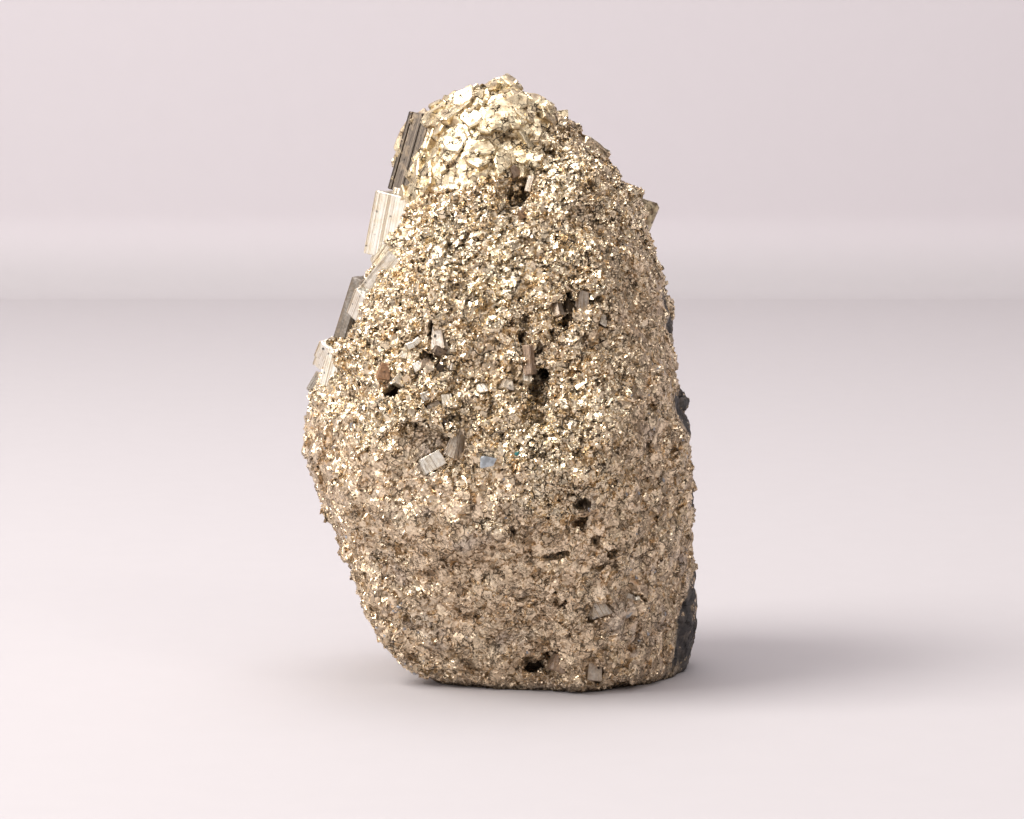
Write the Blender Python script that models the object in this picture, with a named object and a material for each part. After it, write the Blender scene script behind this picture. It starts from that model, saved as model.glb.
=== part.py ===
"""A hand specimen of pyrite, standing on its broad end.

The whole stone is one solid that grew together: a lumpy, sugary mass with open pits in
its front, ledges of blocky crystals down its left edge, a cap of coarser crystals on its
crown, and knobs of dark rock on its right and back.  Metres, +Z up.  The origin is the
bottom centre of the bounding box, on the flat place that the stone stands on, and the
front is towards -Y.
"""

import math
import random

import bmesh
import bpy
import numpy as np
from mathutils import Euler, Matrix, Vector, noise
from mathutils.bvhtree import BVHTree

NAME = "pyrite_mass"
MM = 0.001
SEED = 11
NOISE_SEED = 6

# ---------------------------------------------------------------- the mass
# Reach of the stone from its upright axis at each height, in millimetres:
# height, left, right, front, back.
OUTLINE = np.array(
    (
        (-3.0, -7.0, 22.0, -12.0, 12.5),
        (0.0, -11.4, 25.2, -14.0, 15.0),
        (1.6, -15.4, 26.2, -15.6, 16.6),
        (5.0, -18.4, 26.4, -17.2, 18.2),
        (13.0, -19.8, 26.4, -20.2, 20.0),
        (19.0, -21.4, 26.4, -22.0, 20.6),
        (25.0, -24.4, 26.0, -23.6, 20.6),
        (31.0, -25.6, 25.0, -24.4, 20.4),
        (37.5, -24.2, 24.6, -23.6, 20.0),
        (43.5, -22.0, 24.0, -22.0, 19.4),
        (49.5, -19.0, 22.6, -20.2, 18.6),
        (56.5, -15.8, 20.4, -17.6, 17.6),
        (62.0, -13.6, 19.0, -14.8, 16.8),
        (67.0, -11.8, 16.2, -11.6, 15.6),
        (71.0, -9.8, 12.4, -8.6, 14.0),
        (74.5, -7.8, 9.2, -5.6, 11.6),
        (77.2, -5.8, 6.8, -2.8, 9.0),
        (78.9, -3.4, 4.6, -0.4, 6.4),
    )
)
CORNER_POWER = 2.35  # 2 would give round sections, and more gives squarer ones
CENTRE = np.array((0.0, -1.0, 36.0))
FARTHEST = 70.0

# Broken faces, each as azimuth from the front, elevation, and distance from the centre,
# in degrees and millimetres.  Positive azimuth turns to the stone's right.
BROKEN_FACES = (
    (56, -4, 24.4),
    (-52, 10, 23.2),
    (128, 8, 22.4),
    (162, 30, 21.6),
    (-150, -8, 20.6),
    (-96, -36, 27.6),
    (176, -30, 25.0),
    (24, 40, 30.6),
    (-20, -30, 27.4),
)
BREAK_SHARPNESS = 0.72

# Swellings and hollows of the front, each as x, z, radius across, radius up and height,
# in millimetres; a negative height is a hollow.
FRONT_SWELLINGS = (
    (9.6, 66.0, 4.4, 5.4, 2.6),  # knob beside the crown
    (2.6, 65.4, 1.9, 4.4, -2.2),  # gully between that knob and the mass
    (9.0, 56.0, 5.5, 6.0, 0.9),
    (-6.0, 54.0, 6.0, 7.0, 0.7),
    (6.0, 40.6, 7.0, 3.4, -1.2),  # belt of pits across the middle
    (-8.5, 43.6, 5.0, 3.6, -1.0),
    (-9.4, 32.6, 3.8, 3.2, -2.8),  # brown hollow
    (11.5, 33.0, 5.5, 6.0, 1.4),
    (2.0, 26.0, 6.0, 4.0, 1.0),
    (-9.0, 23.0, 6.0, 4.5, 0.8),
    (-1.0, 18.5, 9.0, 1.6, -0.8),  # shallow ledge
    (11.0, 23.6, 2.6, 2.4, -1.1),
    (17.4, 12.5, 2.4, 4.5, -1.0),
    (5.8, 4.0, 3.2, 2.0, -1.4),
    (19.0, 52.0, 3.0, 9.0, -0.8),
)

# Relief of the grown-together grains, as wavelength and height in millimetres.
SWELL = (13.0, 1.3)
COBBLE = (5.6, 1.0)
GRIT = (2.5, 0.55)
WARP = (6.0, 1.6)  # bends the grain boundaries, so that they don't run straight

SPHERE_SUBDIVISIONS = 6

# ---------------------------------------------------------------- pits
# Pits in the front: x, z, half width, half height, depth in millimetres and lean in degrees.
FRONT_PITS = (
    (2.6, 66.0, 1.4, 2.9, 3.0, 4),
    (7.0, 70.2, 1.3, 0.7, 2.0, 15),
    (8.2, 50.2, 1.0, 2.8, 4.4, -6),
    (10.3, 47.0, 1.5, 1.0, 2.2, 20),
    (4.9, 40.4, 1.2, 3.1, 3.4, 8),
    (-7.8, 44.6, 1.7, 2.9, 2.6, -12),
    (-14.4, 38.6, 1.1, 1.1, 2.8, 0),
    (11.2, 24.0, 1.5, 1.4, 3.2, 30),
    (5.4, 3.9, 2.1, 1.1, 2.6, -8),
    (19.4, 15.4, 0.8, 2.2, 2.0, -18),
    (14.4, 18.4, 1.3, 1.8, 1.6, 25),
    (-5.6, 34.4, 1.2, 1.6, 2.2, 20),
)
# Pits in the sides and back: azimuth from the front in degrees, z, half width, half height, depth.
OTHER_PITS = (
    (118, 33.0, 2.2, 3.4, 3.0),
    (150, 52.0, 2.4, 1.6, 2.6),
    (-160, 24.0, 2.8, 2.0, 3.2),
    (-118, 14.0, 1.8, 2.4, 2.6),
    (178, 40.0, 1.6, 2.6, 3.0),
    (-140, 60.0, 1.8, 1.6, 2.4),
)

BLOCKS_IN_A_PIT = 5

# ---------------------------------------------------------------- crystals
# Blocky crystals of the left edge: centre, size and turn about X, Y, Z in degrees.
EDGE_CRYSTALS = (
    ((-9.7, 3.8, 69.0), (4.6, 5.0, 10.4), (4, 17, 40)),
    ((-13.7, 0.6, 60.2), (4.2, 5.6, 8.2), (-3, 11, -26)),
    ((-15.6, 1.4, 54.0), (1.8, 5.0, 7.6), (6, 42, -18)),
    ((-14.2, -0.4, 56.6), (2.6, 3.6, 3.8), (10, 34, 12)),
    ((-18.8, 1.4, 48.4), (1.8, 5.0, 9.8), (0, 20, -28)),
    ((-16.8, -1.4, 49.2), (4.0, 3.0, 3.4), (24, 38, -30)),
    ((-18.0, -2.2, 45.6), (3.0, 2.8, 3.0), (-14, 52, 20)),
    ((-21.4, 0.8, 42.6), (3.8, 4.4, 3.8), (12, 30, -34)),
    ((-20.4, -1.6, 41.0), (2.8, 3.4, 4.4), (-8, 12, -40)),
    ((-23.2, 1.4, 38.2), (2.8, 3.6, 2.8), (18, 24, 30)),
    ((-23.4, 0.6, 34.8), (2.4, 3.0, 2.8), (-20, 10, 14)),
)
# Larger flat-faced crystals of the crown and the shoulder behind it.
CROWN_CRYSTALS = (
    ((-1.4, 1.8, 77.0), (5.0, 4.0, 2.4), (10, -8, 12)),
    ((0.9, -0.6, 76.0), (2.3, 3.2, 4.6), (-20, 28, 6)),
    ((3.8, -1.6, 73.2), (5.0, 4.0, 5.2), (-18, 20, 28)),
    ((7.6, 0.8, 73.2), (3.6, 3.6, 2.8), (-20, 38, 10)),
    ((11.8, 5.8, 69.6), (5.0, 5.4, 3.8), (8, 36, 30)),
    ((14.6, 4.2, 66.4), (2.8, 3.2, 3.2), (26, 16, -14)),
    ((15.8, 7.0, 59.8), (6.2, 7.6, 8.6), (6, 22, 32)),
    ((0.6, 7.6, 74.2), (4.0, 4.4, 3.4), (-24, 10, 26)),
    ((-5.0, 7.4, 71.2), (4.4, 4.0, 4.4), (18, -22, -20)),
)
# The ledges on those crystals, each a share of its crystal's size.
LEDGES_ON_A_CRYSTAL = 3
LEDGE_SHARE = (0.55, 0.95)
# Crystals set in and around the front's pits: x, z, size across, deep and up, turn, and how
# far the crystal's middle lies behind the surface.
FRONT_CRYSTALS = (
    (-7.3, 45.2, (1.9, 1.8, 2.9), (-12, -24, -10), 0.9),
    (-8.2, 42.4, (2.8, 2.0, 1.6), (20, 34, 24), 0.8),
    (-5.9, 44.0, (1.7, 1.8, 1.6), (10, -18, 30), 0.5),
    (-15.2, 41.0, (2.0, 2.0, 2.2), (16, 14, 22), 0.5),
    (3.9, 42.4, (1.3, 1.8, 3.4), (14, 8, -22), 0.8),
    (3.9, 39.8, (1.4, 1.6, 1.5), (22, 16, 36), 0.4),
    (10.4, 48.8, (2.2, 1.8, 3.6), (-10, 12, 28), 0.7),
    (6.2, 49.0, (2.4, 2.0, 1.9), (18, -22, -24), 0.8),
    (-7.2, 37.7, (1.6, 1.6, 1.6), (16, 10, 32), 0.3),
    (-9.2, 36.9, (2.0, 1.8, 1.4), (-14, 30, -20), 0.6),
    (-11.8, 35.8, (3.8, 2.4, 2.4), (-24, 12, 16), 1.0),
    (-9.2, 27.6, (4.6, 2.6, 2.8), (-24, -14, -14), 1.1),
    (16.6, 11.9, (3.4, 2.2, 1.6), (12, 24, -22), 0.6),
    (10.0, 14.6, (4.6, 2.0, 3.4), (-12, 20, 18), 1.0),
    (8.2, 4.2, (2.6, 2.4, 2.4), (10, 26, 20), 0.8),
    (10.6, 2.6, (2.4, 2.4, 2.2), (-16, 12, 34), 0.8),
    (3.2, 28.6, (2.2, 1.8, 1.8), (20, 24, 14), 0.6),
    (-13.0, 41.6, (1.5, 1.6, 1.5), (-20, 32, 24), 0.4),
    (-10.6, 43.4, (1.6, 1.6, 1.2), (24, -30, 16), 0.4),
    (1.2, 41.4, (2.0, 1.6, 1.4), (-16, 20, 30), 0.6),
)
# The pointed crystal below the brown hollow: x, z, radius, height, lean and depth of its foot.
WEDGE_CRYSTAL = (-5.3, 31.4, 1.9, 7.0, 4, 0.9)

# Dark rock and tarnished crystals of the right edge: centre and half sizes.
DARK_KNOBS = (
    ((20.8, 4.6, 47.4), (2.4, 4.2, 4.4)),
    ((21.0, 5.0, 36.8), (3.2, 4.8, 4.6)),
    ((21.4, 8.0, 30.0), (3.6, 4.6, 4.6)),
    ((23.4, 4.6, 23.0), (2.8, 5.2, 4.2)),
    ((22.6, 7.4, 15.6), (3.6, 5.0, 4.4)),
    ((20.6, 8.0, 8.0), (5.2, 7.4, 7.6)),
    ((15.0, 12.6, 12.0), (6.8, 4.8, 8.4)),
    ((-11.0, 12.0, 20.0), (8.4, 5.0, 8.0)),
    ((4.0, 15.6, 31.0), (9.4, 4.0, 9.4)),
)
# Scatters of smaller crystals, each sunk into the mass: name, count, range of azimuth,
# range of height, range of size, and the share of its depth that is buried.
SCATTERS = (
    ("crown", 36, (-70, 64), (66.0, 77.0), (1.7, 3.4), 0.80),
    ("front", 56, (-62, 62), (5.0, 64.0), (1.2, 2.4), 0.80),
    ("right_flank", 22, (62, 112), (6.0, 66.0), (1.2, 2.6), 0.84),
    ("left_flank", 26, (248, 298), (6.0, 66.0), (1.2, 2.8), 0.84),
    ("back", 56, (112, 248), (5.0, 73.0), (1.8, 4.8), 0.74),
)

FINAL_TRIANGLES = 9400

# The flat place that the stone stands on: its height before the stone is set on the
# ground, and the size of the block that is cut away below it.
REST_HEIGHT = 0.2
GROUND_BLOCK = (90.0, 90.0, 20.0)


def clear_scene():
    for obj in list(bpy.data.objects):
        bpy.data.objects.remove(obj, do_unlink=True)


def new_collection(name):
    made = bpy.data.collections.new(name)
    bpy.context.scene.collection.children.link(made)
    return made


def pyrite_material():
    """Pale brass-yellow metal with the grey of tarnish in it."""
    made = bpy.data.materials.new("pyrite")
    made.use_nodes = True
    shader = made.node_tree.nodes["Principled BSDF"]
    shader.inputs["Base Color"].default_value = (0.56, 0.45, 0.32, 1.0)
    shader.inputs["Metallic"].default_value = 0.9
    shader.inputs["Roughness"].default_value = 0.38
    return made


def mesh_object(name, bm, collection):
    """A new object that holds the bmesh, which is freed."""
    mesh = bpy.data.meshes.new(name)
    bm.to_mesh(mesh)
    bm.free()
    obj = bpy.data.objects.new(name, mesh)
    collection.objects.link(obj)
    return obj


def make_helper(obj):
    """Marks a shape that only cuts or adds to the mass."""
    obj.hide_render = True
    obj.display_type = "WIRE"
    return obj


def direction(azimuth, elevation):
    """Unit vector: azimuth 0 is the front, and 90 is the stone's right."""
    a, e = math.radians(azimuth), math.radians(elevation)
    return np.array((math.sin(a) * math.cos(e), -math.cos(a) * math.cos(e), math.sin(e)))


def inside_outline(points):
    """Which points lie within the stone's sections, in millimetres."""
    x, y, z = points.T
    left, right, front, back = (np.interp(z, OUTLINE[:, 0], OUTLINE[:, i]) for i in (1, 2, 3, 4))
    across = np.abs((x - (left + right) / 2) / ((right - left) / 2))
    along = np.abs((y - (front + back) / 2) / ((back - front) / 2))
    within = across**CORNER_POWER + along**CORNER_POWER <= 1
    return within & (z > OUTLINE[0, 0]) & (z < OUTLINE[-1, 0])


def out_to_outline(directions):
    """Each unit direction's point on the outline, found by halving."""
    near = np.zeros(len(directions))
    far = np.full(len(directions), FARTHEST)
    for _ in range(24):
        middle = (near + far) / 2
        inside = inside_outline(CENTRE + directions * middle[:, None])
        near = np.where(inside, middle, near)
        far = np.where(inside, far, middle)
    return CENTRE + directions * near[:, None]


def break_faces(points):
    """Pushes what stands past each broken face back towards it."""
    for azimuth, elevation, distance in BROKEN_FACES:
        outward = direction(azimuth, elevation)
        past = np.maximum((points - CENTRE) @ outward - distance, 0)
        points = points - BREAK_SHARPNESS * past[:, None] * outward
    return points


def swell_front(points, directions):
    """Raises and sinks the front's named swellings and hollows."""
    facing_front = np.clip(-directions[:, 1] * 3, 0, 1)
    lift = np.zeros(len(points))
    for x, z, across, up, height in FRONT_SWELLINGS:
        reach = ((points[:, 0] - x) / across) ** 2 + ((points[:, 2] - z) / up) ** 2
        lift += height * np.exp(-reach)
    return points + (lift * facing_front)[:, None] * directions


def relief_at(point):
    """Height of the grown-together grains over the smooth mass, in millimetres."""
    height = SWELL[1] * noise.noise(Vector(point / SWELL[0]))
    bent = Vector(point) + WARP[1] * noise.noise_vector(Vector(point / WARP[0]))
    for wavelength, depth in (COBBLE, GRIT):
        near = noise.voronoi(bent / wavelength)[0]
        height += depth * (min(near[1] - near[0], 0.45) / 0.45 - 0.7)
    return height


def make_mass(collection):
    """The stone's body, before its pits are cut and its crystals are added."""
    bm = bmesh.new()
    bmesh.ops.create_icosphere(bm, subdivisions=SPHERE_SUBDIVISIONS, radius=1.0)
    directions = np.array([vertex.co.normalized() for vertex in bm.verts])
    points = break_faces(out_to_outline(directions))
    points = swell_front(points, directions)
    points = points + np.array([relief_at(p) for p in points])[:, None] * directions
    for vertex, point in zip(bm.verts, points):
        vertex.co = Vector(point * MM)
    lower = bmesh.ops.bisect_plane(
        bm,
        geom=bm.verts[:] + bm.edges[:] + bm.faces[:],
        plane_co=(0, 0, 0),
        plane_no=(0, 0, -1),
        clear_outer=True,
    )
    rim = [part for part in lower["geom_cut"] if isinstance(part, bmesh.types.BMEdge)]
    bmesh.ops.contextual_create(bm, geom=rim)
    bmesh.ops.recalc_face_normals(bm, faces=bm.faces[:])
    return mesh_object(NAME, bm, collection)


def surface_of(obj):
    """A lookup of the mass's own surface, for setting pits and crystals on it."""
    bm = bmesh.new()
    bm.from_mesh(obj.data)
    tree = BVHTree.FromBMesh(bm)
    bm.free()
    return tree


def front_point(surface, x, z):
    """Where a line from the front at x and z meets the mass, in millimetres."""
    hit = surface.ray_cast(Vector((x, -FARTHEST, z)) * MM, Vector((0, 1, 0)))[0]
    return hit / MM


def side_point(surface, azimuth, z):
    """(point, normal) where a level line from outside at that azimuth meets the mass."""
    outward = Vector(direction(azimuth, 0))
    start = outward * FARTHEST + Vector((0, 0, z))
    hit, normal = surface.ray_cast(start * MM, -outward)[:2]
    return hit / MM, normal


def make_block(name, centre, size, turn, collection):
    """One flat-faced crystal, as size in millimetres and turn in degrees."""
    bm = bmesh.new()
    bmesh.ops.create_cube(bm, size=1.0)
    bmesh.ops.scale(bm, vec=Vector(size) * MM, verts=bm.verts[:])
    obj = mesh_object(name, bm, collection)
    obj.location = Vector(centre) * MM
    obj.rotation_euler = Euler([math.radians(angle) for angle in turn])
    return make_helper(obj)


def make_pit(name, centre, half_sizes, turn, collection):
    """A hole with flat-faced, ragged walls: a cluster of blocks, which the mass is cut by."""
    draw = random.Random(name)
    for index in range(BLOCKS_IN_A_PIT):
        offset = Vector([half * draw.uniform(-0.55, 0.55) for half in half_sizes])
        size = [half * draw.uniform(0.9, 1.5) for half in half_sizes]
        lean = [draw.uniform(-32, 32) for _ in range(3)]
        block = make_block(f"{name}_{index + 1}", (0, 0, 0), size, lean, collection)
        block.matrix_world = (
            Matrix.Translation((Vector(centre) + turn @ offset) * MM) @ turn @ block.matrix_basis
        )


def make_pits(surface, collection):
    for index, (x, z, across, up, depth, lean) in enumerate(FRONT_PITS):
        turn = Matrix.Rotation(math.radians(lean), 4, "Y")
        make_pit(f"pit_front_{index + 1}", front_point(surface, x, z), (across, depth, up), turn, collection)
    for index, (azimuth, z, across, up, depth) in enumerate(OTHER_PITS):
        turn = Matrix.Rotation(math.radians(azimuth), 4, "Z")
        point = side_point(surface, azimuth, z)[0]
        make_pit(f"pit_other_{index + 1}", point, (across, depth, up), turn, collection)


def make_stepped_block(name, centre, size, turn, collection):
    """A crystal with lower ledges on it, which grew almost in line with it."""
    draw = random.Random(name)
    block = make_block(name, centre, size, turn, collection)
    turned = block.rotation_euler.to_matrix()
    inward = turned.transposed() @ (Vector((0, 0, centre[2])) - Vector(centre)).normalized()
    for index in range(LEDGES_ON_A_CRYSTAL):
        share = [draw.uniform(*LEDGE_SHARE) for _ in range(3)]
        wander = Vector([draw.uniform(-0.4, 0.4) * along for along in size])
        offset = turned @ (inward * max(size) * 0.3 + wander)
        ledge = [along * part for along, part in zip(size, share)]
        leaning = [angle + draw.uniform(-4, 4) for angle in turn]
        make_block(f"{name}_ledge_{index + 1}", Vector(centre) + offset, ledge, leaning, collection)


def make_knob(name, centre, half_sizes, collection):
    """A rough lump of dark rock."""
    bm = bmesh.new()
    bmesh.ops.create_icosphere(bm, subdivisions=3, radius=1.0)
    for vertex in bm.verts:
        rough = 1 + 0.34 * noise.noise(vertex.co * 1.9 + Vector(centre))
        vertex.co = Vector((c * s for c, s in zip(vertex.co * rough, half_sizes))) * MM
    obj = mesh_object(name, bm, collection)
    obj.location = Vector(centre) * MM
    return make_helper(obj)


def make_front_crystals(surface, collection):
    """The crystals of the front's pits, set at their depth below the surface."""
    for index, (x, z, size, turn, depth) in enumerate(FRONT_CRYSTALS):
        centre = front_point(surface, x, z) + Vector((0, depth, 0))
        make_block(f"front_crystal_{index + 1}", centre, size, turn, collection)


def make_wedge(surface, collection):
    """A three-sided pointed crystal that stands against the front."""
    x, z, radius, height, lean, depth = WEDGE_CRYSTAL
    bm = bmesh.new()
    bmesh.ops.create_cone(
        bm, cap_ends=True, segments=3, radius1=radius * MM, radius2=radius * MM / 5, depth=height * MM
    )
    obj = mesh_object("wedge_crystal", bm, collection)
    obj.location = (front_point(surface, x, z) + Vector((0, depth, 0))) * MM
    obj.rotation_euler = Euler((math.radians(-12), math.radians(lean), math.radians(20)))
    make_helper(obj)


def scatter_crystals(surface, collection):
    """Smaller crystals of every side, each sunk into the mass by most of its depth."""
    draw = random.Random(SEED)
    for name, count, azimuths, heights, sizes, buried in SCATTERS:
        for index in range(count):
            azimuth = draw.uniform(*azimuths)
            point, normal = side_point(surface, azimuth, draw.uniform(*heights))
            size = [draw.uniform(*sizes) for _ in range(3)]
            centre = point - normal * min(size) * (buried - 0.5)
            turn = [draw.uniform(-40, 40), draw.uniform(-40, 40), azimuth + draw.uniform(-30, 30)]
            make_block(f"{name}_scatter_{index + 1}", centre, size, turn, collection)


def make_crystals(surface, collection):
    for group, crystals in (("edge", EDGE_CRYSTALS), ("crown", CROWN_CRYSTALS)):
        for index, (centre, size, turn) in enumerate(crystals):
            make_stepped_block(f"{group}_crystal_{index + 1}", centre, size, turn, collection)
    for index, (centre, half_sizes) in enumerate(DARK_KNOBS):
        make_knob(f"dark_knob_{index + 1}", centre, half_sizes, collection)
    make_front_crystals(surface, collection)
    make_wedge(surface, collection)
    scatter_crystals(surface, collection)


def make_ground_block(collection):
    """What lies below the stone, which cuts its resting place flat."""
    centre = (0, 0, REST_HEIGHT - GROUND_BLOCK[2] / 2)
    make_block("ground_block", centre, GROUND_BLOCK, (0, 0, 0), collection)


def add_boolean(obj, name, operation, collection):
    made = obj.modifiers.new(name, "BOOLEAN")
    made.operation = operation
    made.operand_type = "COLLECTION"
    made.collection = collection
    made.solver = "EXACT"
    made.use_self = True


def thin_out(obj):
    """Joins the smallest facets, and leaves flat faces and edges where they are."""
    bpy.context.view_layer.update()
    finished = obj.evaluated_get(bpy.context.evaluated_depsgraph_get())
    found = sum(len(face.vertices) - 2 for face in finished.data.polygons)
    made = obj.modifiers.new("thin_out", "DECIMATE")
    made.ratio = min(1.0, FINAL_TRIANGLES / found)


def settle_at_origin(obj):
    """Moves the mass so that the bottom centre of its finished bounding box is the origin."""
    bpy.context.view_layer.update()
    finished = obj.evaluated_get(bpy.context.evaluated_depsgraph_get())
    corners = np.array([obj.matrix_world @ Vector(corner) for corner in finished.bound_box])
    low, high = corners.min(axis=0), corners.max(axis=0)
    shift = Vector((-(low[0] + high[0]) / 2, -(low[1] + high[1]) / 2, -low[2]))
    for each in bpy.data.objects:
        each.location += shift


def main():
    clear_scene()
    noise.seed_set(NOISE_SEED)
    specimen = new_collection("pyrite_specimen")
    pits = new_collection("pits")
    crystals = new_collection("crystals")
    ground = new_collection("ground")
    mass = make_mass(specimen)
    mass.data.materials.append(pyrite_material())
    surface = surface_of(mass)
    make_pits(surface, pits)
    make_crystals(surface, crystals)
    make_ground_block(ground)
    add_boolean(mass, "cut_pits", "DIFFERENCE", pits)
    add_boolean(mass, "add_crystals", "UNION", crystals)
    thin_out(mass)
    add_boolean(mass, "cut_flat", "DIFFERENCE", ground)
    settle_at_origin(mass)


main()
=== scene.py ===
"""Looks of a pyrite hand specimen that stands on its broad end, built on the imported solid."""

import itertools
import math
from types import SimpleNamespace

import bmesh
import bpy
import numpy as np
from mathutils import Euler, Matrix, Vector
from mathutils.bvhtree import BVHTree
from mathutils.kdtree import KDTree


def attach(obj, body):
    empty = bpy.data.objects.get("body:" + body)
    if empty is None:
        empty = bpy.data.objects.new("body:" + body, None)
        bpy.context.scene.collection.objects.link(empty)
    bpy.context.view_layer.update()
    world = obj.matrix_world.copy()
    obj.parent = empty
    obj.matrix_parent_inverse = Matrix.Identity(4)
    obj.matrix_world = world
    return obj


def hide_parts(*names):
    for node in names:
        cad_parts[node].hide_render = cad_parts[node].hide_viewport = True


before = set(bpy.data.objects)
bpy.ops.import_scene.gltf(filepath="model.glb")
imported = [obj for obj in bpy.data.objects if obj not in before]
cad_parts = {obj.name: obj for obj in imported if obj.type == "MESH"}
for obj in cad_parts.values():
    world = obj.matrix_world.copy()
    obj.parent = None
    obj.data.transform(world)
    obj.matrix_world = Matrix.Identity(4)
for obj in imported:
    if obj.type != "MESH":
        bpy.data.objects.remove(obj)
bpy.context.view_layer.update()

# ---------------------------------------------------------------- blocky crystals of the left edge
# Large pyrite cubes and bars that grew side by side down the stone's left edge. Their
# sides carry the fine straight steps that pyrite grows with, and each is part of the stone:
# its foot is grown into the mass behind it.
MM = 0.001
SETTLED = np.array((-0.42, 1.9, -0.2))  # how far the stone moved when it was set on the ground, mm
# centre and size in mm, turn about X, Y, Z in degrees, depth of the steps in mm, tarnish
EDGE_CRYSTALS = (
    ((-9.5, 2.8, 69.0), (5.6, 5.2, 10.4), (4, 17, 40), 0.24, 1.05),
    ((-13.4, -1.7, 60.2), (5.0, 5.6, 8.2), (-3, 11, -26), 0.20, 0.0),
    ((-15.0, -5.0, 54.0), (1.9, 4.6, 7.8), (6, 42, -18), 0.16, 0.35),
    ((-14.6, -3.6, 56.4), (2.6, 3.6, 3.6), (10, 34, 12), 0.12, 0.2),
    ((-18.8, 1.2, 48.4), (1.9, 5.0, 9.8), (0, 20, -28), 0.22, 0.72),
    ((-17.0, -5.2, 50.0), (3.6, 3.0, 4.6), (24, 38, -30), 0.10, 0.05),
    ((-16.6, -7.0, 47.2), (4.6, 2.8, 2.0), (-14, -30, 20), 0.12, 0.75),
    ((-21.4, 0.8, 42.6), (3.8, 4.4, 3.8), (12, 30, -34), 0.14, 0.15),
    ((-20.4, -5.0, 41.4), (3.4, 3.8, 4.9), (-8, 12, -34), 0.12, 0.0),
    ((-23.2, 1.4, 38.2), (2.8, 3.6, 2.8), (18, 24, 30), 0.10, 0.6),
    ((-23.4, 0.6, 34.8), (2.4, 3.0, 2.8), (-20, 10, 14), 0.08, 0.5),
)
OVER_SOLID = 1.03  # how much larger a crystal is than its block in the solid, which it covers
STEP_WIDTH = (0.14, 0.62)  # mm
EDGE_WEAR = 0.10  # mm taken off a crystal's ends
LEDGES = 3  # smaller crystals grown into each large one
LEDGE_SHARE = (0.5, 0.9)  # of the large crystal's size
LEDGE_WANDER = 0.36  # of the large crystal's size
LEDGE_INWARD = 0.24  # of the large crystal's longest side
LEDGE_LEAN = 3  # degrees

seats = []  # of every large crystal: centre in metres, rows of its own axes, half sizes in metres


def turned(angles):
    """Rotation matrix of a turn in degrees about X, Y and Z."""
    return np.array(Euler([math.radians(angle) for angle in angles]).to_matrix())


def unit(vectors):
    return vectors / np.maximum(np.linalg.norm(vectors, axis=-1, keepdims=True), 1e-12)


def placed(points, centre, size, turn):
    """A crystal's points in metres once it is turned and moved; its seat is noted."""
    rotation = turned(turn)
    seats.append((np.array(centre) * MM, rotation.T, np.array(size) / 2 * MM))
    return (points @ rotation.T + np.array(centre)) * MM


def stepped_outline(width, depth, relief, draw):
    """Outline of a crystal across its steps, in mm: a rectangle whose sides go in and out."""
    corners = []
    for side in range(4):
        length = (width, depth)[side % 2]
        reach = (depth, width)[side % 2] / 2
        along = -length / 2
        rows = []
        while along < length / 2:
            broad = draw.uniform(*STEP_WIDTH)
            inset = relief * draw.uniform(0, 1) ** 1.6
            rows += [(along, reach - inset), (min(along + broad, length / 2), reach - inset)]
            along += broad
        angle = -side * math.pi / 2
        for across, out in rows:
            level = across * math.cos(angle) + out * math.sin(angle)
            corners.append((level, -across * math.sin(angle) + out * math.cos(angle)))
    return np.array(corners)


def stepped_crystal(centre, size, turn, relief, draw, taper=1.0):
    """(points in metres, faces, stripe per point) of one crystal whose steps run along its own Z."""
    outline = stepped_outline(size[0], size[1], relief, draw)
    half = size[2] / 2
    worn_end = 1 - 2 * EDGE_WEAR / min(size[:2])
    rings = ((-half, worn_end), (-half + EDGE_WEAR, 1), (half - EDGE_WEAR, taper), (half, taper * worn_end))
    points = np.concatenate(
        [np.column_stack((outline * share, np.full(len(outline), level))) for level, share in rings]
    )
    count = len(outline)
    faces = []
    for ring in range(3):
        for index in range(count):
            after = (index + 1) % count
            low, high = ring * count, (ring + 1) * count
            faces.append((low + index, high + index, high + after, low + after))
    faces.append(tuple(range(count)))
    faces.append(tuple(3 * count + index for index in reversed(range(count))))
    return placed(points, centre, size, turn), faces, points[:, 0] + points[:, 1]


def joined(name, parts, values):
    """One new piece from (points, faces) parts, with named values for every point."""
    mesh = bpy.data.meshes.new(name)
    points = np.concatenate([part[0] for part in parts])
    starts = np.cumsum([0] + [len(part[0]) for part in parts])
    faces = [
        tuple(corner + start for corner in face) for part, start in zip(parts, starts) for face in part[1]
    ]
    mesh.from_pydata(points, [], faces)
    set_values(mesh, values)
    return mesh_piece(name, mesh)


def set_values(mesh, values):
    """Stores a number for every point of the mesh under each name."""
    for key, found in values.items():
        mesh.attributes.new(key, "FLOAT", "POINT").data.foreach_set("value", found.astype(np.float32))


def mesh_piece(name, mesh):
    """Links a new object for the mesh, which rides with the stone and takes its finish."""
    mesh.shade_flat()
    piece = bpy.data.objects.new(name, mesh)
    bpy.context.scene.collection.objects.link(piece)
    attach(piece, "root")
    return piece


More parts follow.
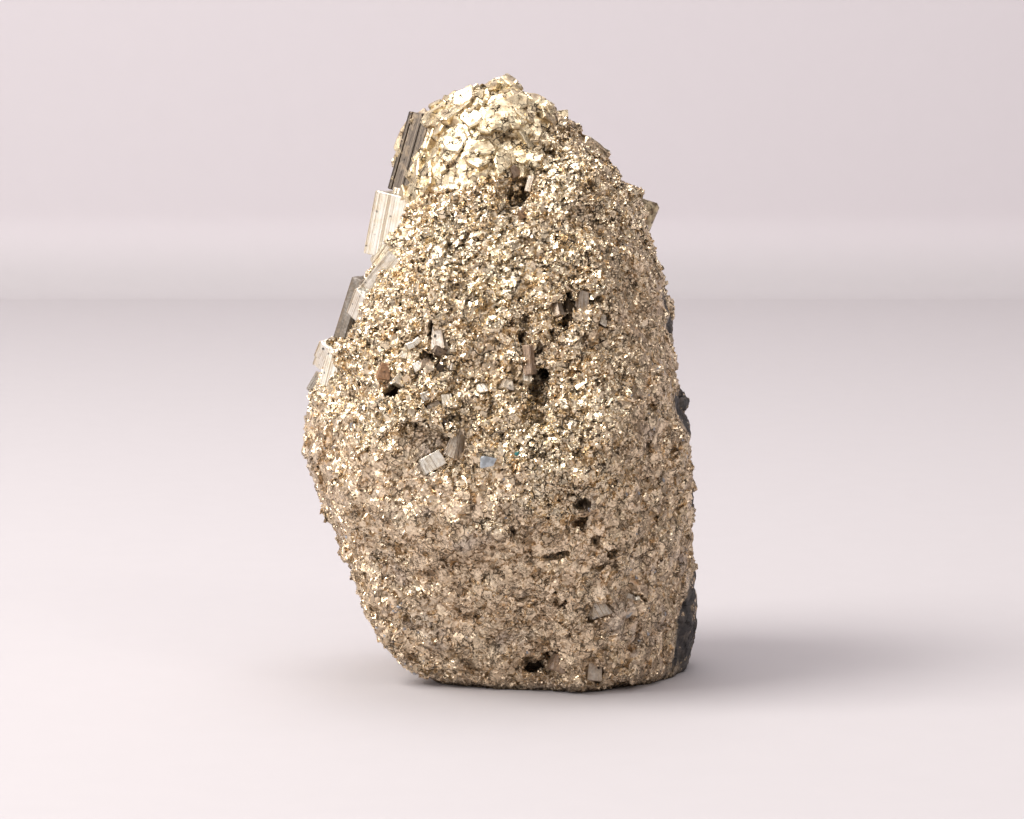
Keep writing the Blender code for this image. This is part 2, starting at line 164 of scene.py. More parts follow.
class Wire:
    """An output of a shader node, which adds the nodes that an expression on it needs."""

    def __init__(self, tree, socket=None):
        self.tree = tree
        self.socket = socket

    def node(self, kind, settings, inputs, output=0):
        """One output of a new node of that kind, whose settings are made before its inputs."""
        made = self.tree.nodes.new(kind)
        for name, value in settings.items():
            setattr(made, name, value)
        for name, value in inputs.items():
            if isinstance(value, Wire):
                self.tree.links.new(value.socket, made.inputs[name])
            else:
                made.inputs[name].default_value = value
        return Wire(self.tree, made.outputs[output])

    def maths(self, operation, *values):
        return self.node("ShaderNodeMath", {"operation": operation}, dict(enumerate(values)))

    def __add__(self, other):
        return self.maths("ADD", self, other)

    def __radd__(self, other):
        return self.maths("ADD", other, self)

    def __sub__(self, other):
        return self.maths("SUBTRACT", self, other)

    def __rsub__(self, other):
        return self.maths("SUBTRACT", other, self)

    def __mul__(self, other):
        return self.maths("MULTIPLY", self, other)

    def __rmul__(self, other):
        return self.maths("MULTIPLY", other, self)

    def rise(self, low, high):
        """0 below low and 1 above high, with a soft change between them."""
        settings = {"interpolation_type": "SMOOTHSTEP"}
        return self.node("ShaderNodeMapRange", settings, {"Value": self, 1: low, 2: high}, "Result")

    def highest(self, other):
        return self.maths("MAXIMUM", self, other)

    def mix(self, *colours):
        """The first colour where this value is 0, and the second where it is 1."""
        first, second = (colour if isinstance(colour, Wire) else (*colour, 1) for colour in colours)
        return self.node("ShaderNodeMix", {"data_type": "RGBA"}, {0: self, 6: first, 7: second}, 2)

    def vector(self, operation, inputs, output=0):
        return self.node("ShaderNodeVectorMath", {"operation": operation}, {0: self, **inputs}, output)

    def plus(self, other):
        """The sum of this vector and another one."""
        return self.vector("ADD", {1: other})

    def times(self, scale):
        """This vector at another length."""
        return self.vector("SCALE", {"Scale": scale})

    def way(self):
        """This colour as a vector that may point any way."""
        return self.vector("SUBTRACT", {1: (0.5, 0.5, 0.5)})

    def clouds(self, size, detail=2.0):
        """Soft noise over this place, whose blots are about size millimetres."""
        inputs = {"Vector": self, "Scale": 1 / (size * MM), "Detail": detail}
        return self.node("ShaderNodeTexNoise", {}, inputs, "Fac")

    def facets(self, size, output="Color"):
        """Cells over this place, about size millimetres across."""
        return self.node("ShaderNodeTexVoronoi", {}, {"Vector": self, "Scale": 1 / (size * MM)}, output)

    def facet_rims(self, size):
        """How far this place is from the nearest rim of those cells."""
        inputs = {"Vector": self, "Scale": 1 / (size * MM)}
        return self.node("ShaderNodeTexVoronoi", {"feature": "DISTANCE_TO_EDGE"}, inputs, "Distance")

    def also(self, output):
        """Another output of the node that this one belongs to."""
        return Wire(self.tree, self.socket.node.outputs[output])

    def part(self, axis):
        """One part of this colour or vector, as a number."""
        return self.node("ShaderNodeSeparateXYZ", {}, {0: self}, axis)


def value_of(start, name):
    """A number that the mesh holds under that name."""
    return start.node("ShaderNodeAttribute", {"attribute_name": name}, {}, "Fac")


def new_finish(name):
    """A new material, the start of its nodes, the place on the piece, and the shader."""
    made = bpy.data.materials.new(name)
    made.use_nodes = True
    start = Wire(made.node_tree)
    place = start.node("ShaderNodeTexCoord", {}, {}, "Object")
    return made, start, place, made.node_tree.nodes["Principled BSDF"]


def set_inputs(shader, values):
    """Sets or links the shader's sockets."""
    for name, value in values.items():
        if isinstance(value, Wire):
            value.tree.links.new(value.socket, shader.inputs[name])
        else:
            shader.inputs[name].default_value = value


def striated_finish():
    """Bright to grey-brown pyrite with fine straight lines along a crystal's steps."""
    made, start, place, shader = new_finish("striated_pyrite")
    tarnish = value_of(start, "tarnish")
    rust = value_of(start, "rust")
    line_inputs = {"W": value_of(start, "stripe") * 4.2, "Scale": 1.0, "Detail": 4.0, "Roughness": 0.75}
    lines = start.node("ShaderNodeTexNoise", {"noise_dimensions": "1D"}, line_inputs, "Fac")
    mottle = place.clouds(1.1, 4.0)
    ripple = place.clouds(0.30, 2.0)
    bright = mottle.rise(0.35, 0.7).mix((0.97, 0.93, 0.83), (0.88, 0.79, 0.63))
    bright = (lines.rise(0.52, 0.60) * 0.8).mix(bright, (0.40, 0.295, 0.18))
    grey = lines.rise(0.42, 0.62).mix((0.135, 0.115, 0.098), (0.29, 0.235, 0.180))
    grey = (mottle.rise(0.52, 0.66) * 0.7).mix(grey, (0.38, 0.30, 0.215))
    worn = (tarnish + (mottle - 0.5) * 0.5 + (ripple - 0.5) * 0.4).rise(0.05, 0.95)
    colour = worn.mix(bright, grey)
    colour = rust.mix(colour, ripple.rise(0.3, 0.7).mix((0.50, 0.27, 0.13), (0.30, 0.15, 0.07)))
    specks = 1 - place.facets(0.95, "Distance").rise(0.16, 0.28)
    specks = specks * mottle.also("Color").part("Y").rise(0.5, 0.6)
    colour = specks.mix(colour, (0.030, 0.022, 0.016))
    lined = start.node("ShaderNodeBump", {}, {"Height": lines, "Strength": 0.55, "Distance": 0.00012}, 0)
    normal = lined.plus(ripple.also("Color").way().times(0.34))
    set_inputs(
        shader,
        {
            "Base Color": colour,
            "Metallic": 1 - specks * 0.8 - rust * 0.3,
            "Roughness": 0.25 + worn * 0.18 + mottle * 0.12 + rust * 0.15,
            "Normal": normal.vector("NORMALIZE", {}),
        },
    )
    return made


def stepped_group(name, crystals, finish, seed):
    """One piece that holds the stepped crystals of a table, each with its ledges."""
    draw = np.random.default_rng(seed)
    parts, stripes, tarnishes = [], [], []
    for centre, size, turn, relief, tarnish in crystals:
        centre, size, turn = np.array(centre), np.array(size), np.array(turn)
        blocks = [(centre + SETTLED, size * OVER_SOLID, turn)]
        inward = unit(np.array((-centre[0], -centre[1], 0.0)))
        for _ in range(LEDGES):
            wander = turned(turn) @ (draw.uniform(-LEDGE_WANDER, LEDGE_WANDER, 3) * size)
            ledge = size * draw.uniform(*LEDGE_SHARE, 3)
            leaning = turn + draw.uniform(-LEDGE_LEAN, LEDGE_LEAN, 3)
            blocks.append((centre + SETTLED + inward * max(size) * LEDGE_INWARD + wander, ledge, leaning))
        for middle, block, lean in blocks:
            points, faces, stripe = stepped_crystal(middle, block, lean, relief, draw)
            parts.append((points, faces))
            stripes.append(stripe + 20 * len(parts))
            tarnishes.append(np.full(len(points), tarnish))
    tarnish = np.concatenate(tarnishes)
    piece = joined(name, parts, {"stripe": np.concatenate(stripes), "tarnish": tarnish, "rust": 0 * tarnish})
    piece.data.materials.append(finish)
    return piece


striated = striated_finish()
stepped_group("edge_crystals", EDGE_CRYSTALS, striated, 21)

# ---------------------------------------------------------------- crystals of the crown
# Coarser crystals than the rest of the stone has: flat-faced pale blocks, chipped at their
# edges, which crowd the stone's top and the shoulder behind it.
# centre and size in mm, turn about X, Y, Z in degrees, tarnish
CROWN_CRYSTALS = (
    ((-1.4, 1.8, 77.0), (5.0, 4.0, 2.4), (10, -8, 12), 0.15),
    ((0.9, -0.6, 76.0), (2.3, 3.2, 4.6), (-20, 28, 6), 0.0),
    ((3.8, -1.6, 73.2), (5.0, 4.0, 5.2), (-18, 20, 28), 0.05),
    ((7.6, 0.8, 73.2), (3.6, 3.6, 2.8), (-20, 38, 10), 0.25),
    ((11.8, 5.8, 69.6), (5.0, 5.4, 3.8), (8, 36, 30), 0.45),
    ((14.6, 4.2, 66.4), (2.8, 3.2, 3.2), (26, 16, -14), 0.5),
    ((16.4, 5.4, 59.8), (6.2, 7.0, 8.8), (6, 22, 32), 0.55),
    ((0.6, 7.6, 74.2), (4.0, 4.4, 3.4), (-24, 10, 26), 0.2),
    ((-5.0, 7.4, 71.2), (4.4, 4.0, 4.4), (18, -22, -20), 0.3),
)
CHIP = 0.55  # mm of corner that is broken off a block
BLOCK_RELIEF = 0.13  # mm
BLOCK_SHARE = (0.80, 1.06)  # how far each corner reaches, of the block's half size


def cloud(points, size, seed):
    """Soft random values from -1 to 1 at points in metres, changing over size millimetres."""
    place = points / (size * MM) + seed * 17.13
    cell = np.floor(place).astype(np.int64)
    part = place - cell
    part = part * part * (3 - 2 * part)
    total = np.zeros(len(points))
    for corner in itertools.product((0, 1), repeat=3):
        at = cell + corner
        mixed = (at[:, 0] * 73856093) ^ (at[:, 1] * 19349663) ^ (at[:, 2] * 83492791) ^ (seed * 7919)
        mixed = ((mixed & 0xFFFFFF) * 2654435761) & 0xFFFFFFFF
        weight = np.prod(np.where(corner, part, 1 - part), axis=1)
        total += ((mixed >> 12) / 524287.5 - 1) * weight
    return total


def cloud_vectors(points, size, seed):
    """Soft random vectors at points in metres, as cloud gives numbers."""
    return np.column_stack([cloud(points, size, seed + axis) for axis in range(3)])


def chipped_block(centre, size, turn, draw):
    """(points in metres, faces) of a block with broken corners and slightly rough faces."""
    bm = bmesh.new()
    bmesh.ops.create_cube(bm, size=1.0)
    for vertex in bm.verts:
        vertex.co = Vector(np.array(vertex.co) * size * draw.uniform(*BLOCK_SHARE, 3))
    bmesh.ops.bevel(bm, geom=bm.edges[:], offset=CHIP, segments=1, affect="EDGES")
    bmesh.ops.triangulate(bm, faces=bm.faces[:])
    bmesh.ops.subdivide_edges(bm, edges=bm.edges[:], cuts=3, use_grid_fill=True)
    bm.normal_update()
    points = np.array([vertex.co for vertex in bm.verts])
    normals = np.array([vertex.normal for vertex in bm.verts])
    seed = int(draw.integers(1, 90))
    rough = cloud(points * MM, 1.1, seed) + 0.6 * cloud(points * MM, 0.5, seed + 1)
    points = points + normals * (rough * BLOCK_RELIEF)[:, None]
    faces = [tuple(corner.index for corner in face.verts) for face in bm.faces]
    bm.free()
    return placed(points, centre, size, turn), faces


def crown_finish():
    """Cream-coloured pyrite with dull mottling and hairline cracks."""
    made, start, place, shader = new_finish("crown_pyrite")
    mottle = place.clouds(0.9, 3.0)
    ripple = place.clouds(0.32, 2.0)
    tarnish = value_of(start, "tarnish")
    colour = mottle.rise(0.32, 0.68).mix((0.82, 0.73, 0.50), (0.68, 0.56, 0.355))
    worn = (tarnish + (mottle.also("Color").part("Y") - 0.5) * 1.6).rise(0.20, 0.8)
    colour = worn.mix(colour, (0.24, 0.175, 0.11))
    bent = place.plus(ripple.also("Color").times(0.0005))
    cracks = 1 - bent.facet_rims(0.9).rise(0.03, 0.10)
    cracks = cracks * mottle.also("Color").part("Z").rise(0.46, 0.54)
    colour = (cracks * 0.85).mix(colour, (0.06, 0.047, 0.030))
    normal = start.node("ShaderNodeNewGeometry", {}, {}, "Normal")
    normal = normal.plus(ripple.also("Color").way().times(0.34))
    set_inputs(
        shader,
        {
            "Base Color": colour,
            "Metallic": 1 - cracks * 0.5,
            "Roughness": 0.30 + mottle * 0.2,
            "Normal": normal.vector("NORMALIZE", {}),
        },
    )
    return made


def block_group(name, crystals, finish, seed):
    """One piece that holds the chipped blocks of a table."""
    draw = np.random.default_rng(seed)
    parts, tarnishes = [], []
    for centre, size, turn, tarnish in crystals:
        block = chipped_block(np.array(centre) + SETTLED, np.array(size), turn, draw)
        parts.append(block)
        tarnishes.append(np.full(len(block[0]), tarnish))
    piece = joined(name, parts, {"tarnish": np.concatenate(tarnishes)})
    piece.data.materials.append(finish)
    return piece


crown_pyrite = crown_finish()
block_group("crown_crystals", CROWN_CRYSTALS, crown_pyrite, 31)

# ---------------------------------------------------------------- pits and their crystals
# Open pits between the grown-together grains of the front. They go dark quickly, and sharp
# little crystals grew into them where they had room: flat tan tablets, thin dark bars with
# fine steps, and small bright cubes.
# x and z of the pit on the front, half width, half height, lean in degrees, added depth; mm
PITS = (
    ((2.7, 64.4), (0.35, 1.2), -14, 0.5),
    ((3.2, 61.6), (0.5, 0.5), 20, 0.5),
    ((4.6, 70.9), (0.9, 0.3), -20, 0.8),
    ((8.6, 51.0), (0.55, 2.7), -6, 1.9),
    ((12.2, 51.6), (0.9, 0.35), 10, 0.8),
    ((10.6, 47.0), (0.7, 0.5), 30, 0.7),
    ((5.1, 41.9), (0.60, 0.9), 0, 1.5),
    ((4.8, 45.2), (0.32, 1.3), -10, 0.9),
    ((2.6, 47.2), (0.35, 0.9), -16, 0.9),
    ((-8.9, 48.0), (0.38, 1.1), 0, 1.2),
    ((-7.4, 42.5), (0.55, 0.5), 0, 1.0),
    ((-13.9, 40.3), (0.95, 0.90), 0, 1.8),
    ((-8.8, 34.9), (2.7, 1.9), -30, 0.6),
    ((-6.2, 37.0), (0.5, 0.7), 24, 0.7),
    ((10.3, 26.0), (0.95, 1.15), -20, 1.7),
    ((9.2, 27.4), (0.5, 0.5), 0, 0.8),
    ((1.6, 22.6), (0.45, 0.8), 30, 0.9),
    ((-1.6, 24.4), (0.35, 0.6), -20, 0.7),
    ((7.2, 19.0), (1.9, 0.35), 6, 0.8),
    ((-3.0, 19.4), (0.5, 0.35), 0, 0.8),
    ((12.2, 20.9), (0.45, 0.7), 20, 0.9),
    ((13.6, 19.2), (0.7, 0.5), -30, 0.9),
    ((14.8, 17.4), (0.55, 0.6), 0, 0.9),
    ((18.7, 17.6), (0.6, 1.1), -26, 0.8),
    ((8.0, 12.2), (0.30, 0.8), -30, 0.7),
    ((4.6, 3.4), (1.6, 0.7), 24, 1.6),
    ((6.6, 4.9), (0.8, 0.6), 0, 1.0),
    ((-12.4, 10.2), (0.6, 0.5), 0, 0.7),
)
# x and z on the front, size across, deep and up in mm, turn, taper, step depth, tarnish, rust
PIT_CRYSTALS = (
    (-7.9, 46.9, (1.9, 1.4, 3.2), (-12, -10, -20), 0.60, 0.03, 0.45, 0.15),
    (-7.4, 44.9, (1.3, 1.3, 2.8), (10, -60, 12), 0.90, 0.14, 0.85, 0.1),
    (-7.5, 43.5, (1.2, 1.2, 1.9), (6, 28, 10), 0.80, 0.14, 1.10, 0.0),
    (-5.9, 45.2, (1.7, 1.1, 1.1), (-12, 20, 20), 0.80, 0.03, 0.25, 0.1),
    (-5.6, 43.2, (0.9, 1.0, 2.2), (-14, 100, 14), 0.35, 0.02, 0.0, 0.0),
    (-10.7, 46.3, (1.1, 1.0, 0.8), (-16, -38, 20), 0.90, 0.02, 0.0, 0.0),
    (-11.7, 45.7, (1.1, 1.0, 0.9), (-10, -20, 10), 0.90, 0.02, 0.30, 0.0),
    (-12.4, 44.8, (1.1, 1.0, 1.5), (-10, 16, 20), 0.30, 0.02, 0.0, 0.0),
    (-14.9, 42.5, (1.7, 1.1, 2.1), (-8, 16, 16), 0.70, 0.08, 0.40, 0.85),
    (-9.6, 43.4, (1.8, 1.0, 1.2), (-8, 12, 26), 0.70, 0.06, 0.60, 0.25),
    (-6.9, 39.2, (1.45, 1.2, 1.6), (-18, -6, 14), 0.90, 0.02, -0.2, 0.0),
    (-8.3, 38.4, (2.0, 1.2, 1.1), (-8, -28, -10), 0.80, 0.03, 1.20, 0.0),
    (-9.6, 39.6, (1.3, 1.1, 1.2), (-10, -20, 12), 0.90, 0.10, 0.45, 0.0),
    (-6.7, 36.4, (0.6, 0.8, 2.0), (0, -52, 0), 0.90, 0.05, 1.10, 0.0),
    (-5.2, 34.6, (2.7, 2.2, 5.2), (10, 4, 40), 0.20, 0.16, 0.45, 0.12),
    (-8.7, 31.2, (3.4, 1.5, 2.1), (-14, -28, 6), 0.85, 0.26, 0.30, 0.0),
    (3.6, 44.3, (1.3, 1.2, 3.8), (-8, -10, -30), 0.80, 0.14, 0.70, 0.4),
    (3.2, 42.3, (1.2, 1.2, 1.7), (-16, 10, 24), 0.80, 0.02, -0.1, 0.0),
    (7.2, 50.4, (1.5, 1.2, 1.9), (-14, -20, -36), 0.65, 0.06, 0.55, 0.25),
    (10.4, 51.2, (1.7, 1.2, 3.2), (-10, 12, 18), 0.70, 0.06, 0.50, 0.2),
    (12.9, 48.9, (1.1, 1.1, 1.3), (-18, 30, 30), 0.70, 0.05, 0.40, 0.1),
    (1.6, 67.6, (1.3, 1.2, 1.5), (-10, -22, 36), 0.70, 0.08, 0.80, 0.35),
    (2.1, 65.6, (1.5, 1.1, 2.1), (-2, 14, 36), 0.60, 0.08, 0.70, 0.35),
    (3.8, 66.0, (0.8, 1.2, 2.2), (-14, 10, -20), 0.85, 0.05, 0.45, 0.2),
    (2.9, 62.3, (1.4, 1.1, 1.1), (-16, -24, 32), 0.70, 0.08, 0.80, 0.4),
    (16.3, 12.7, (2.4, 1.3, 1.3), (-14, 22, -24), 0.75, 0.10, 0.50, 0.0),
    (17.6, 12.3, (0.8, 1.0, 0.9), (-24, 10, 30), 0.85, 0.02, 0.1, 0.0),
    (12.6, 12.0, (2.9, 1.2, 2.7), (-10, -14, 20), 0.25, 0.06, 0.60, 0.15),
    (7.4, 4.0, (2.2, 1.6, 2.2), (-10, 22, 16), 0.70, 0.04, 0.50, 0.4),
    (12.0, 3.4, (2.0, 1.6, 3.4), (-12, 10, 20), 0.85, 0.05, 0.40, 0.2),
    (-13.0, 41.5, (1.3, 1.2, 1.4), (-20, 32, 24), 0.60, 0.04, 0.10, 0.0),
    (-10.6, 43.2, (1.5, 1.2, 1.2), (-20, -30, 16), 0.60, 0.04, 0.10, 0.0),
    (0.8, 41.2, (1.7, 1.2, 1.3), (-16, 20, 30), 0.65, 0.04, 0.30, 0.2),
    (-2.4, 40.6, (1.4, 1.2, 1.2), (-22, -14, 10), 0.60, 0.04, 0.0, 0.0),
)
SEATED = 0.50  # share of a pit crystal's depth between its middle and the stone's surface
PIT_REACH = 0.32  # how far from its middle the surface is felt for, as a share of its size

cad_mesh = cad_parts["pyrite_mass"].data
cad_lookup = BVHTree.FromPolygons(
    [vertex.co for vertex in cad_mesh.vertices], [tuple(face.vertices) for face in cad_mesh.polygons]
)


def on_front(x, z):
    """Where a level line from the front meets the stone, in mm."""
    return np.array(cad_lookup.ray_cast(Vector((x, -60, z)) * MM, Vector((0, 1, 0)))[0]) / MM


pit_places = [on_front(*place) for place, _, _, _ in PITS]


def smooth_rise(values, low, high):
    """0 below low and 1 above high, with a soft change between them."""
    share = np.clip((values - low) / (high - low), 0, 1)
    return share * share * (3 - 2 * share)


def pit_at(points):
    """(how far into a pit points in metres are, from 0 to 1, and the pit's added depth in mm)."""
    inside = np.zeros(len(points))
    depth = np.zeros(len(points))
    ragged = 0.34 * cloud(points, 0.9, 8) + 0.16 * cloud(points, 0.45, 9)
    for (_, half, lean, added), place in zip(PITS, pit_places):
        away = points / MM - place
        angle = math.radians(lean)
        across = away[:, 0] * math.cos(angle) + away[:, 2] * math.sin(angle)
        along = -away[:, 0] * math.sin(angle) + away[:, 2] * math.cos(angle)
        reach = np.sqrt((across / half[0]) ** 2 + (along / half[1]) ** 2 + (away[:, 1] / 7) ** 2)
        found = 1 - smooth_rise(reach + ragged, 0.55, 1.25)
        inside = np.maximum(inside, found * min(1.0, (added / 1.2) ** 1.3))
        depth = np.maximum(depth, found * added)
    return inside, depth


def pit_crystals():
    """One piece that holds the sharp crystals of the front's pits."""
    draw = np.random.default_rng(41)
    parts, values = [], {"stripe": [], "tarnish": [], "rust": []}
    for x, z, size, turn, taper, relief, tarnish, rust in PIT_CRYSTALS:
        size = np.array(size)
        around = itertools.product((-PIT_REACH, 0, PIT_REACH), repeat=2)
        levels = [on_front(x + aside * size[0], z + up * size[2])[1] for aside, up in around]
        level = np.percentile(levels, 30)
        middle = np.array((x, level + SEATED * size[1], z))
        ledge = turned(turn) @ (size * draw.uniform(-0.34, 0.34, 3)) + (0, 0.2 * size[1], 0)
        for place, block in ((middle, size), (middle + ledge, size * draw.uniform(0.5, 0.85, 3))):
            points, faces, stripe = stepped_crystal(place, block, turn, relief, draw, taper)
            parts.append((points, faces))
            values["stripe"].append(stripe + 20 * len(parts))
            values["tarnish"].append(np.full(len(points), tarnish + draw.uniform(-0.12, 0.12)))
            values["rust"].append(np.full(len(points), rust))
    piece = joined("pit_crystals", parts, {name: np.concatenate(found) for name, found in values.items()})
    piece.data.materials.append(striated)
    return piece


pit_crystals()

# ---------------------------------------------------------------- the fine-grained mass
# The stone's body: pyrite grains a fraction of a millimetre across that grew into one
# another, sugary and glittering above, and worn to a dull tan skin with flat patches below.
# Dark rock is grown into its right edge and back. It carries every other piece.
BED_VOXEL = 0.315 * MM
PARTING = 36.0  # mm above the ground, where the upper and the lower half of the mass meet
WORN_FACET = 1.9  # mm across the flat places of the worn part
SUGAR_FACET = 1.12  # mm across those of the sugary part
CROWN_FACET = 2.8  # mm across those of the crown
CREVICE_DEPTH = 0.13  # mm
GULLY = ((2.3, 65.6), (1.8, 3.0), 1.6)  # x and z on the front, half sizes and added height; mm
WORN_BELOW = (23.5, 29.5)  # mm above the ground over which the worn lower part ends
WORN_FALL = 0.32  # mm by which that end lies lower for each mm to the right
WORN_RIGHT = (12.5, 17.0)  # mm to the right over which the worn right side begins
WORN_TOP = (52, 60)  # mm above the ground over which the worn right side ends
CROWN_ABOVE = 67.0  # mm above the ground, where the crown begins
CROWN_RISE = 0.22  # mm by which it begins higher for each mm to the right
BROAD_LUMPS = (0.75, 6.4)  # height and size of the mass's lumps, mm
SMALL_LUMPS = (0.52, 2.6)
FACET_LIMITS = (0.35, 0.32, 0.5)  # mm off the surface for worn, sugary and crown facets
SEAT_CLEAR = 0.12  # mm outside a large crystal's seat within which the mass is lowered
SEAT_SUNK = 0.45  # mm by which it is lowered there
FLOOR_GAP = 0.02 * MM
# centre and half sizes in mm
DARK_ROCK = (
    ((22.6, 1.0, 47.6), (1.9, 5.4, 3.6)),
    ((24.0, 0.6, 36.4), (2.3, 5.6, 4.4)),
    ((22.0, 8.0, 42.0), (3.6, 4.4, 7.4)),
    ((23.2, 7.0, 30.0), (3.6, 4.6, 5.6)),
    ((25.6, 3.4, 23.0), (2.4, 5.8, 4.6)),
    ((22.4, 12.0, 23.0), (4.6, 4.6, 9.6)),
    ((24.6, 6.4, 15.6), (3.4, 6.0, 5.4)),
    ((25.6, 3.0, 6.4), (4.4, 9.0, 6.6)),
    ((16.0, 14.4, 12.0), (8.6, 4.8, 11.4)),
    ((-11.4, 13.9, 20.0), (8.4, 5.0, 8.0)),
    ((3.6, 17.5, 31.0), (9.4, 4.0, 9.4)),
)


def worn_at(points):
    """How worn and dull the stone is at points in metres, from 0 to 1."""
    x, y, z = (points / MM).T
    wander = 6.0 * cloud(points, 9.0, 3) + 4.0 * cloud(points, 3.6, 4)
    lower = 1 - smooth_rise(z + wander + WORN_FALL * x, *WORN_BELOW)
    right = smooth_rise(x + 0.5 * wander, *WORN_RIGHT) * (1 - smooth_rise(z + wander, *WORN_TOP))
    behind = smooth_rise(y, 2, 9) * smooth_rise(cloud(points, 13.0, 5), -0.05, 0.25)
    patches = smooth_rise(cloud(points, 2.6, 14) + 0.5 * cloud(points, 1.1, 15), -0.30, 0.15)
    worn = np.maximum.reduce([lower, 0.85 * right, 0.9 * behind]) * (0.55 + 0.45 * patches)
    return worn * (1 - 0.7 * fresh_at(points))


def crown_at(points):
    """Where the coarse pale crystals of the crown are, from 0 to 1."""
    x, y, z = (points / MM).T
    edge = CROWN_ABOVE + CROWN_RISE * x + 1.3 * cloud(points, 3.0, 6)
    return smooth_rise(z - edge, -0.5, 0.5) * (1 - smooth_rise(x - 0.25 * y, 6.0, 8.5))


def rock_at(points):
    """Where the dark rock is, from 0 to 1."""
    found = np.full(len(points), -1.0)
    bent = points / MM + 2.2 * cloud_vectors(points, 6.0, 7) + 0.8 * cloud_vectors(points, 1.9, 17)
    for centre, half in DARK_ROCK:
        away = (bent - np.array(centre)) / np.array(half)
        found = np.maximum(found, 1.1 - np.linalg.norm(away, axis=1))
    return smooth_rise(found, 0.0, 0.10)


def seat_depth(points):
    """How far points in metres lie outside the nearest large crystal; below 0 is inside it."""
    nearest = np.full(len(points), 1.0)
    for centre, axes, half in seats:
        local = np.abs((points - centre) @ axes.T) - half
        nearest = np.minimum(nearest, local.max(axis=1))
    return nearest


def read_points(mesh):
    found = np.empty(len(mesh.vertices) * 3)
    mesh.vertices.foreach_get("co", found)
    return found.reshape(-1, 3)


def softened(points, edges, rounds):
    """Each point moved to the middle of its neighbours, again and again."""
    count = np.bincount(edges.ravel(), minlength=len(points))[:, None]
    for _ in range(rounds):
        columns = [
            np.bincount(edges[:, 0], points[edges[:, 1], axis], len(points))
            + np.bincount(edges[:, 1], points[edges[:, 0], axis], len(points))
            for axis in range(3)
        ]
        points = np.column_stack(columns) / count
    return points


def normals_of(points, quads):
    """Unit normal of the surface at every point."""
    across = np.cross(points[quads[:, 2]] - points[quads[:, 0]], points[quads[:, 3]] - points[quads[:, 1]])
    columns = [np.bincount(quads.ravel(), np.repeat(across[:, axis], 4), len(points)) for axis in range(3)]
    return unit(np.column_stack(columns))


def spread(points, quads, normals, spacing, draw, keep=None):
    """(places, normals) spread evenly over the surface, about spacing millimetres apart."""
    triangles = np.concatenate([quads[:, [0, 1, 2]], quads[:, [0, 2, 3]]])
    corners = points[triangles]
    areas = np.linalg.norm(
        np.cross(corners[:, 1] - corners[:, 0], corners[:, 2] - corners[:, 0]), axis=1
    )
    count = int(3.2 * areas.sum() / 2 / (spacing * MM) ** 2)
    picked = np.searchsorted(np.cumsum(areas) / areas.sum(), draw.random(count))
    picked = np.minimum(picked, len(triangles) - 1)
    shares = draw.random((count, 2))
    over = shares.sum(axis=1) > 1
    shares[over] = 1 - shares[over]
    weights = np.column_stack((1 - shares.sum(axis=1), shares))[:, :, None]
    places = (corners[picked] * weights).sum(axis=1)
    facing = unit((normals[triangles[picked]] * weights).sum(axis=1))
    cells = np.floor(places / (spacing * MM) + draw.random(3)).astype(np.int64)
    first = np.unique(cells, axis=0, return_index=True)[1]
    places, facing = places[first], facing[first]
    if keep is not None:
        kept = keep(places) > draw.random(len(places))
        places, facing = places[kept], facing[kept]
    return places, facing


# Fresh breaks of the front, which are cleaner and face up and left: x and z, half sizes; mm
FRESH = (
    ((-11.2, 37.4), (2.6, 2.0)),
    ((6.2, 33.6), (4.8, 4.4)),
    ((3.0, 27.2), (2.4, 2.4)),
    ((11.5, 40.0), (3.6, 2.8)),
    ((-1.5, 53.0), (4.6, 3.6)),
    ((-0.5, 58.6), (8.0, 5.6)),
    ((-7.5, 59.0), (3.6, 5.4)),
    ((-16.5, 34.0), (3.4, 3.4)),
    ((8.0, 67.0), (3.0, 3.6)),
    ((-1.6, 23.4), (2.4, 1.2)),
    ((-13.0, 24.6), (2.0, 1.6)),
    ((6.4, 57.4), (3.0, 2.6)),
)
FRESH_LEAN = np.array((-0.30, -0.10, 0.42))  # added to the way that their facets face
fresh_places = [on_front(*place) for place, _ in FRESH]


def fresh_at(points):
    """Where the fresh breaks are, from 0 to 1."""
    found = np.zeros(len(points))
    for (_, half), place in zip(FRESH, fresh_places):
        away = (points / MM - place) / (half[0], 8.0, half[1])
        found = np.maximum(found, 1 - smooth_rise(np.linalg.norm(away, axis=1), 0.55, 1.15))
    return found * smooth_rise(cloud(points, 1.7, 25) + 0.5 * cloud(points, 0.8, 26), -0.55, 0.05)


def facet_offset(points, normals, places, facing, tilt, step, draw):
    """(way along the normals to the nearest tilted facet, its number, crevice at its rim)."""
    lookup = KDTree(len(places))
    for index, place in enumerate(places):
        lookup.insert(place, index)
    lookup.balance()
    wander = 0.00020 * cloud_vectors(points, 0.8, 11)
    found = [lookup.find_n(point, 2) for point in points + wander]
    first = np.array([pair[0][1] for pair in found])
    second = np.array([pair[1][1] for pair in found])
    apart = np.array([pair[1][2] - pair[0][2] for pair in found]) / MM
    leaning = unit(facing + tilt * draw.normal(size=facing.shape) + fresh_at(places)[:, None] * FRESH_LEAN)
    lift = step * MM * draw.uniform(-1, 1, len(places))
    ways = []
    for cell in (first, second):
        down = np.maximum((normals * leaning[cell]).sum(axis=1), 0.5)
        ways.append(((places[cell] - points) * leaning[cell]).sum(axis=1) / down + lift[cell])
    unlike = smooth_rise(np.abs(ways[0] - ways[1]) / MM, 0.5 * step, 1.8 * step)
    unlike = unlike * smooth_rise(cloud(points, 1.9, 27), -0.45, 0.10)
    return ways[0], first, unlike * (1 - smooth_rise(apart, 0.06, 0.30))


